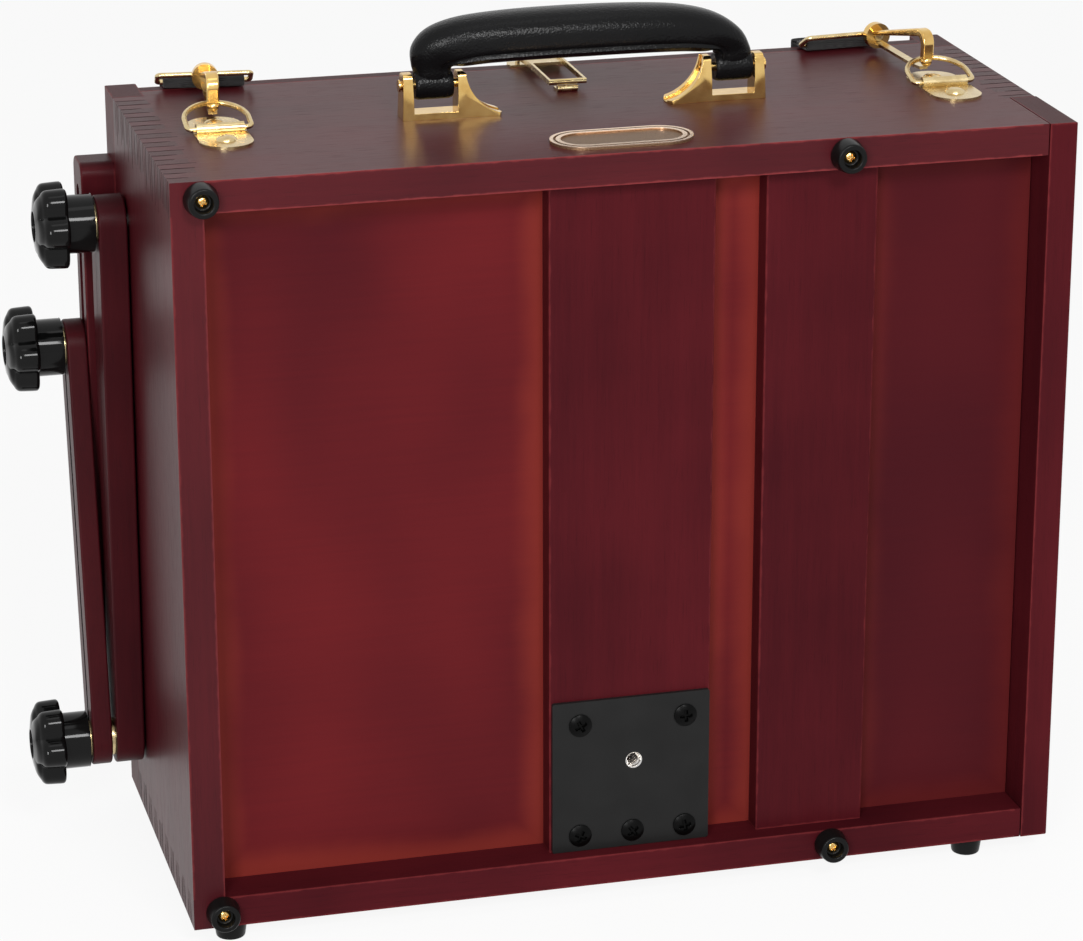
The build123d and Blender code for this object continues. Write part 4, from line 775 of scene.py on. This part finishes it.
def knob_grid(around=192):
    """Rings of a knob: plain radius + share x outline + offset, where the outline is a soft larger-of-two.

    The nearest lobe's outline is d cos a + sqrt(r^2 - d^2 sin^2 a), with d the lobe's place, r its radius and
    a the angle from it. The soft larger-of-two is the fourteenth root of the sum of fourteenth powers, held
    inside the lobe's own tip.
    """
    angle = np.linspace(0, 2 * np.pi, around, endpoint=False)
    step = 2 * np.pi / KNOB_LOBES
    from_lobe = (angle + step / 2) % step - step / 2
    lobe = LOBE_PLACE * np.cos(from_lobe)
    lobe += np.sqrt(np.maximum(LOBE_RADIUS**2 - (LOBE_PLACE * np.sin(from_lobe)) ** 2, 0.0))
    outline = (lobe**SOFTNESS + WEB_RADIUS**SOFTNESS) ** (1 / SOFTNESS)
    outline = np.minimum(outline, LOBE_PLACE + LOBE_RADIUS)
    plain, share, offset, height = np.array(KNOB_RINGS, float).T[:, :, None]
    radius = plain + share * outline + offset
    return np.stack((radius * np.cos(angle), radius * np.sin(angle), height + 0 * radius), axis=-1)


KNOB_SPOTS = {"pivot_knob": (-15.3, 126.0, 294.0), "elbow_knob": (-26.5, 133.0, 41.0),
              "slot_knob": (-26.5, 165.0, 225.0)}
rings = through(knob_grid().reshape(len(KNOB_RINGS), -1), KNOB_FINE_RINGS).reshape(KNOB_FINE_RINGS, -1, 3)
for name, spot in KNOB_SPOTS.items():
    knob = piece_of("star_" + name, [skin(seated(rings, spot, LEFT, along=(0, 1, 0)))], limit=50.0)
    stand_in(knob, gloss_black, name)

# %% [markdown]
# ## The plaque
# An oval plate of bronze colour is fixed in front of the handle. Its raised double rim is polished by touch, and
# its field is plain and finely stippled. The rim is real form in the frame, so the finish only has to know how
# high a point lies.

# %% Plaque
FIELD_DARK, FIELD_LIGHT, RIM_BRIGHT = (0.16, 0.085, 0.045), (0.42, 0.27, 0.16), (0.80, 0.58, 0.40)
plaque_finish, tree, shader = start_material("plaque_bronze")
shader.inputs["Metallic"].default_value = 1.0
top_face = ramp(tree, axes_from_corner(tree)[2], BOX_HEIGHT + 0.9, BOX_HEIGHT + 1.3)
stipple = noise(tree, object_space(tree), 2600.0, detail=2.0)
field = mix(tree, ramp(tree, stipple, 0.35, 0.65), FIELD_DARK, FIELD_LIGHT)
tree.links.new(mix(tree, top_face, field, RIM_BRIGHT), shader.inputs["Base Color"])
tree.links.new(calc(tree, "MULTIPLY_ADD", top_face, -0.26, 0.42), shader.inputs["Roughness"])
bump(tree, shader, stipple, 0.00006, 0.6)
smoothed("plaque", plaque_finish)

# %% [markdown]
# ## The leather handle
# The grip is a padded core in thin black leather. Its skin is drawn tight over a round back and sewn to a flatter
# sole, so the section is a rounded D with a raised, sewn edge along each side. At both ends the leather narrows
# to a strap that rolls round the bracket's pin. The grip is firm, so its form is worked out and not simulated:
# one section, defined by an angle, is carried along the curve that the handle makes from pin to pin.

# %% Sections of the grip
HANDLE_MIDDLE = (201.2, 82.0, 359.0)
PIN_REACH = 69.2
# From the left pin to the middle: place, height above the pin, heading in degrees, thickness and width.
GRIP_ROWS = [(-PIN_REACH, 2.6, 90.0, 17.5, 11.6), (-PIN_REACH, 5.2, 89.0, 17.5, 12.6),
             (-69.0, 8.5, 84.0, 17.9, 13.6), (-66.8, 12.6, 62.0, 19.6, 17.0), (-60.2, 16.2, 34.0, 21.0, 21.5),
             (-49.5, 18.5, 14.0, 21.6, 25.0), (-36.0, 19.5, 5.0, 22.2, 27.0), (-18.0, 20.0, 1.5, 22.7, 28.0),
             (0.0, 20.1, 0.0, 22.9, 28.2)]
GRIP_LEAN = 7.0
GRIP_FIRM_BELOW = 6.5
GRIP_TOP = 31.6
# The sewn edges and the valleys above them: their angles round the section, height and spread in radians.
SEWN_EDGES, EDGE_HEIGHT, EDGE_SPREAD = (208, 332), 0.75, 0.06
VALLEYS, VALLEY_DEPTH, VALLEY_SPREAD = (198, 342), 0.55, 0.08


def hills(a, places, spread):
    """Hills of height 1 at those angles in degrees: e to the minus square of the distance over the spread."""
    nearest = np.min([np.abs(a - np.radians(place)) for place in places], axis=0)
    return np.exp(-(nearest / spread) ** 2)


def grip_grid(stations=90, around=96):
    """Rings of the grip, square to its path.

    At angle a the section is half the width times cos a, and half the thickness times sin a. The cosine's size is
    raised to 0.86 and the sine's to 0.92, to fill the corners, and below the middle the sine's is raised to 0.62,
    which flattens the sole. A hill at each lower edge is the sewn edge, with a small valley above it. The soft
    ends let the grip lean to the left: a point moves by the lean times its share of the height from the brackets
    to the back.
    """
    half = through(GRIP_ROWS, stations)
    other = half[-2::-1] * np.array((-1, 1, -1, 1, 1))
    place, rise, heading, thickness, width = np.vstack((half, other)).T[:, :, None]
    a = np.linspace(0, 2 * np.pi, around, endpoint=False)
    cosine, sine = np.cos(a), np.sin(a)
    across = np.sign(cosine) * np.abs(cosine) ** 0.86
    up = np.where(sine > 0, np.abs(sine) ** 0.92, -0.96 * np.abs(sine) ** 0.62)
    ridge = EDGE_HEIGHT * hills(a, SEWN_EDGES, EDGE_SPREAD) - VALLEY_DEPTH * hills(a, VALLEYS, VALLEY_SPREAD)
    reach = 1 + ridge / (thickness / 2)
    sideways = width / 2 * across * reach
    outward = thickness / 2 * up * reach
    turn = np.radians(heading)
    height = rise + outward * np.cos(turn)
    lean = GRIP_LEAN * np.clip((height - GRIP_FIRM_BELOW) / (GRIP_TOP - GRIP_FIRM_BELOW), 0, 1)
    return np.stack((place - outward * np.sin(turn) - lean, sideways + 0 * place, height), axis=-1)


def roll_grid(middle, length=17.2, radius=6.6, around=64):
    """The strap rolled round a pin: rings along the pin, smaller at both ends and a little flatter in front."""
    along = length / 2 * np.sin(np.linspace(-np.pi / 2, np.pi / 2, 28))[:, None]
    drop = radius * (1 - 0.12 * np.abs(2 * along / length) ** 10)
    a = np.linspace(0, 2 * np.pi, around, endpoint=False)
    y = drop * np.sign(np.cos(a)) * np.abs(np.cos(a)) ** 0.9
    return np.stack((middle + along + 0 * y, y, drop * np.sin(a)), axis=-1)


def on_handle(grid):
    """A grid in millimetres from the middle of the handle, at the height of its pins."""
    return at(*HANDLE_MIDDLE) + MM * grid


# %% Leather
LEATHER_DARK, LEATHER_LIGHT = (0.003, 0.003, 0.0032), (0.007, 0.007, 0.0075)
LEATHER_CELL = 1100.0


def leather_finish():
    """Fine black leather: rounded cells with creases between them, a soft sheen and slow changes of tone."""
    finish, tree, shader = start_material("black_leather")
    place = object_space(tree)
    inputs = {"Vector": place, "Scale": LEATHER_CELL, "Randomness": 1.0}
    cells = add_node(tree, "TexVoronoi", inputs, feature="SMOOTH_F1")
    creases = noise(tree, object_space(tree, scale=(0.6, 1.0, 1.0)), 520.0, detail=3.0, roughness=0.6)
    wide = noise(tree, place, 45.0, detail=2.0)
    height = calc(tree, "SUBTRACT", creases, calc(tree, "MULTIPLY", cells.outputs["Distance"], 0.8))
    tree.links.new(mix(tree, wide, LEATHER_DARK, LEATHER_LIGHT), shader.inputs["Base Color"])
    rough = calc(tree, "MULTIPLY_ADD", wide, 0.08, 0.22)
    tree.links.new(calc(tree, "MULTIPLY_ADD", height, -0.06, rough), shader.inputs["Roughness"])
    shader.inputs["Specular IOR Level"].default_value = 0.12
    bump(tree, shader, height, 0.00022, 0.7)
    return finish


leather = leather_finish()
grip = piece_of("leather_grip", [skin(on_handle(grip_grid()), capped=True)])
stand_in(grip, leather, "handle")
rolls = piece_of("leather_rolls", [skin(on_handle(roll_grid(x)), capped=True) for x in (-PIN_REACH, PIN_REACH)])
stand_in(rolls, leather, "handle")

# %% [markdown]
# ## The webbing strap
# A flat woven strap hangs behind the lid as a U and comes over its top edge at two places, where each end is sewn
# round a wire loop. Webbing is too thin and even for a cloth simulation to improve, so each length of it is a
# flat ring carried along its path. The weave reads the piece's own flat map, whose two numbers run across and
# along the strap in metres, so the ribs follow every fold.

# %% Webbing
STRAP_WIDTH = 37.0
STRAP_THICKNESS = 1.5
RIB = 0.0016
WEBBING_DARK, WEBBING_LIGHT = (0.004, 0.004, 0.0045), (0.016, 0.016, 0.017)


def webbing_finish():
    """Black ribbed webbing: threads cross in a fine check, raised between the crossings."""
    finish, tree, shader = start_material("black_webbing")
    flat = add_node(tree, "UVMap", uv_map="skin").outputs[0]
    axes = add_node(tree, "SeparateXYZ", {0: flat}).outputs
    waves = [calc(tree, "SINE", calc(tree, "MULTIPLY", axis, 2 * np.pi / size))
             for axis, size in ((axes[0], RIB), (axes[1], RIB * 0.7))]
    check = calc(tree, "MULTIPLY_ADD", calc(tree, "MULTIPLY", *waves), 0.5, 0.5)
    fuzz = noise(tree, object_space(tree), 2500.0, detail=2.0)
    height = calc(tree, "MULTIPLY_ADD", fuzz, 0.3, check)
    tree.links.new(mix(tree, check, WEBBING_DARK, WEBBING_LIGHT), shader.inputs["Base Color"])
    shader.inputs["Roughness"].default_value = 0.75
    shader.inputs["Sheen Weight"].default_value = 0.15
    bump(tree, shader, height, 0.00025, 0.9)
    return finish


webbing = webbing_finish()


# %% The strap's section, carried along a path
def flat_ring(thickness, around=40):
    """The strap's section, flat with rounded edges: how far each point lies across, and how far it is lifted.

    Across is half the width x cos a raised to 0.25, and the lift is half the thickness x sin a raised to 0.5.
    """
    a = np.linspace(0, 2 * np.pi, around, endpoint=False)
    across = STRAP_WIDTH / 2 * np.sign(np.cos(a)) * np.abs(np.cos(a)) ** 0.25
    return across, thickness / 2 * np.sign(np.sin(a)) * np.abs(np.sin(a)) ** 0.5


def band(path, thickness=STRAP_THICKNESS):
    """Rings of a strap whose middle line lies in the plane x = 0, each standing square to the path."""
    path = np.array(path, float)
    forward = np.gradient(path, axis=0)
    forward /= np.linalg.norm(forward, axis=1, keepdims=True)
    across, lift = flat_ring(thickness)
    y = path[:, 0, None] - forward[:, 1, None] * lift
    z = path[:, 1, None] + forward[:, 0, None] * lift
    return np.stack((across + 0 * y, y, z), axis=-1)


def length_of(path):
    """Length of a path of points."""
    return float(np.linalg.norm(np.diff(np.array(path), axis=0), axis=1).sum())


# %% The strap behind the lid
STRAP_LEGS = (44.0, 348.5)
STRAP_BACK = 170.05
RUN_HEIGHT = 40.0
FOLD_BELOW = 120.0
FOLD_STEEPNESS = 8
OVER_LID = [(174.9, 346.1), (176.9, 345.6), (177.3, 343.2), (176.2, 336.0), (172.6, 327.0), (170.6, 318.0),
            (170.15, 300.0)]
DOWN_LID = [(STRAP_BACK + 0.05, 290.0), (STRAP_BACK + 0.05, RUN_HEIGHT)]
LEG_PATH = np.vstack((through(OVER_LID, 40), through(DOWN_LID, 30)))


def leg_grid(x, side):
    """One leg at x: over the lid's edge and down, its foot slanted to the 45 degree fold on that side."""
    rings = band(LEG_PATH)
    share = np.clip((FOLD_BELOW - rings[..., 2]) / (FOLD_BELOW - RUN_HEIGHT), 0, 1)
    rings[..., 2] -= side * rings[..., 0] * share
    rings[..., 0] += x
    return rings


def run_grid(stations=60):
    """The run from leg to leg, upright in the middle and slanted at both ends to the folds."""
    across, lift = flat_ring(STRAP_THICKNESS)
    reach = np.linspace(1, -1, stations)[:, None]
    slant = reach * np.clip(1 + FOLD_STEEPNESS * (np.abs(reach) - 1), 0, 1)
    x = np.linspace(*STRAP_LEGS, stations)[:, None] - slant * across
    return np.stack((x, STRAP_BACK + STRAP_THICKNESS + lift + 0 * x, RUN_HEIGHT + across + 0 * x), axis=-1)


grids = [leg_grid(x, side) for x, side in zip(STRAP_LEGS, (1, -1))] + [run_grid()]
# The legs and the run are nearly of one length, so one length serves the flat map of all three.
woven = length_of(OVER_LID) + length_of(DOWN_LID)
strap = piece_of("webbing_strap", [skin(at(0, 0, 0) + MM * grid, capped=True) for grid in grids],
                 scale=(2 * STRAP_WIDTH * MM, woven * MM), limit=60.0)
stand_in(strap, webbing, "strap")
print("lengths of a leg and of the run in millimetres:", round(length_of(LEG_PATH), 1), np.ptp(STRAP_LEGS))

# %% Sewn ends of the strap
# Each hook: the place of its swivel, its turn in degrees and how far the sewn end has slid along the loop's bar.
HOOKS = {"left": ((36.0, 97.53, 352.77), -6.4, 0.0), "right": ((367.3, 97.53, 352.77), 5.5, -12.0)}
LOOP_BAR = (63.5, -5.2)
TURN_RADIUS = 2.25
END_THICKNESS = 1.4


def sewn_end():
    """The strap's path in the plane of a hook: in along the lid, round the loop's bar and back, lying double."""
    y, z = LOOP_BAR
    angle = np.linspace(-np.pi / 2, -3 * np.pi / 2, 18)
    turn = np.stack((y + TURN_RADIUS * np.cos(angle), z + TURN_RADIUS * np.sin(angle)), axis=1)
    low = np.linspace((y + 10.5, z - TURN_RADIUS), (y + 1.2, z - TURN_RADIUS), 8)
    high = through([(y + 1.2, z + TURN_RADIUS), (y + 4.5, z + 1.2), (y + 8.0, z - 0.72), (y + 10.5, z - 0.74)], 14)
    return np.vstack((low, turn, high))


for side, (place, yaw, slide) in HOOKS.items():
    rings = band(sewn_end(), END_THICKNESS)
    across, ahead, up = np.moveaxis(rings, -1, 0)
    across = across + slide
    cosine, sine = np.cos(radians(yaw)), np.sin(radians(yaw))
    rings = np.stack((across * cosine - ahead * sine, across * sine + ahead * cosine, up), axis=-1)
    end = piece_of("sewn_end_" + side, [skin(at(*place) + MM * rings, capped=True)],
                   scale=(2 * STRAP_WIDTH * MM, length_of(sewn_end()) * MM), limit=60.0)
    stand_in(end, webbing, "strap_end_" + side)
print("length of a sewn end in millimetres:", round(length_of(sewn_end()), 1))

# %% [markdown]
# ## Plain wood inside
# The drawer's sides and the palette are left pale under a clear lacquer, as in most boxes of this kind. The
# stain's clouds would look dirty there, so this wood has only slow bands across the grain and fibres along it.

# %% Plain wood
PLAIN_DARK, PLAIN_LIGHT = (0.36, 0.20, 0.095), (0.55, 0.34, 0.18)
PLAIN_GRAIN = {"drawer_sides": "X", "drawer_back": "Z", "drawer_bottom": "X", "deck": "X", "palette": "X",
               "canvas_ledge": "X", "canvas_clamp": "X"}


def plain_wood(name, axis):
    """Clear-lacquered pale wood: rings as slow bands across the grain, and fibres along it."""
    finish, tree, shader = start_material("plain_" + name)
    fibres = grain_space(tree, axis)
    ring = noise(tree, fibres, 120.0, detail=4.0, roughness=0.65)
    fibre = noise(tree, fibres, 1100.0, detail=2.0)
    amount = calc(tree, "MULTIPLY_ADD", ring, 0.7, calc(tree, "MULTIPLY", fibre, 0.3), clamp=True)
    tree.links.new(mix(tree, amount, PLAIN_DARK, PLAIN_LIGHT), shader.inputs["Base Color"])
    tree.links.new(calc(tree, "MULTIPLY_ADD", fibre, 0.15, 0.34), shader.inputs["Roughness"])
    bump(tree, shader, fibre, 0.00003, 0.5)
    return finish


for name, axis in PLAIN_GRAIN.items():
    paint(name, plain_wood(name, axis))
print("plain boards:", len(PLAIN_GRAIN))

# %% [markdown]
# ## Floor and light
# The photograph is a product shot: white all round, with soft lamps in front. The front faces stay a deep clear
# red, and the top and the left side, seen at a slant, carry the pale sheen of the white room. A large floor takes
# the shadow. What the camera and the mirror-like finishes see of floor and room is white, through the kind of ray
# that asks, so that no extra lamp is needed to bleach it. The wood itself is lit by a plain level of light.

# %% What the camera and the mirrors see
WHITE = (1.0, 1.0, 1.0, 1.0)


def seen_rays(tree):
    """1 for the rays of the camera, of reflections and through glass, and 0 for the rays that light things."""
    rays = add_node(tree, "LightPath").outputs
    mirrored = calc(tree, "MAXIMUM", rays["Is Glossy Ray"], rays["Is Transmission Ray"])
    return calc(tree, "MAXIMUM", rays["Is Camera Ray"], mirrored)


# %% Floor
FLOOR_HALF = 12.0
FLOOR_WHITE_SHARE = 0.90
floor_mesh = bpy.data.meshes.new("floor")
floor_corners = [(x * FLOOR_HALF, y * FLOOR_HALF, 0.0) for x, y in ((-1, -1), (1, -1), (1, 1), (-1, 1))]
floor_mesh.from_pydata(floor_corners, [], [(0, 1, 2, 3)])
floor = bpy.data.objects.new("floor", floor_mesh)
bpy.context.scene.collection.objects.link(floor)
floor_paint, tree, shader = start_material("pale_floor")
shader.inputs["Base Color"].default_value = (0.90, 0.90, 0.90, 1.0)
shader.inputs["Roughness"].default_value = 0.8
white = add_node(tree, "Emission", {"Color": WHITE, "Strength": 1.0}).outputs[0]
share = calc(tree, "MULTIPLY", seen_rays(tree), FLOOR_WHITE_SHARE)
blend = add_node(tree, "MixShader", {0: share, 1: shader.outputs[0], 2: white})
tree.links.new(blend.outputs[0], tree.nodes["Material Output"].inputs["Surface"])
floor_mesh.materials.append(floor_paint)
print("floor:", 2 * FLOOR_HALF, "metres square")

# %% World
WORLD_LEVEL = 0.36
world = bpy.data.worlds.new("studio")
bpy.context.scene.world = world
world.use_nodes = True
tree = world.node_tree
tree.nodes["Background"].inputs["Color"].default_value = WHITE
level = calc(tree, "MAXIMUM", seen_rays(tree), WORLD_LEVEL)
tree.links.new(level, tree.nodes["Background"].inputs["Strength"])
print("level of the plain light:", WORLD_LEVEL)

# %% Lamps
TARGET = (0.0, 0.0, 0.18)
# Each lamp: its place, its size in metres and its power in watts.
LAMPS = {"left": ((-1.1, -2.2, 1.0), (0.6, 0.8), 32.0), "front": ((0.12, -1.95, 1.55), (0.7, 0.45), 25.0),
         "overhead": ((0.2, -0.4, 2.4), (1.2, 0.5), 2.0)}


def soft_box(name, place, size, power):
    """A rectangular lamp turned to the middle of the box."""
    lamp = bpy.data.lights.new(name, "AREA")
    lamp.shape = "RECTANGLE"
    lamp.size, lamp.size_y = size
    lamp.energy = power
    made = bpy.data.objects.new(name, lamp)
    bpy.context.scene.collection.objects.link(made)
    made.location = place
    made.rotation_euler = (Vector(TARGET) - Vector(place)).to_track_quat("-Z", "Y").to_euler()


for name, lamp in LAMPS.items():
    soft_box(name, *lamp)
bpy.context.scene.view_settings.view_transform = "Standard"
print("lamps:", len(LAMPS))
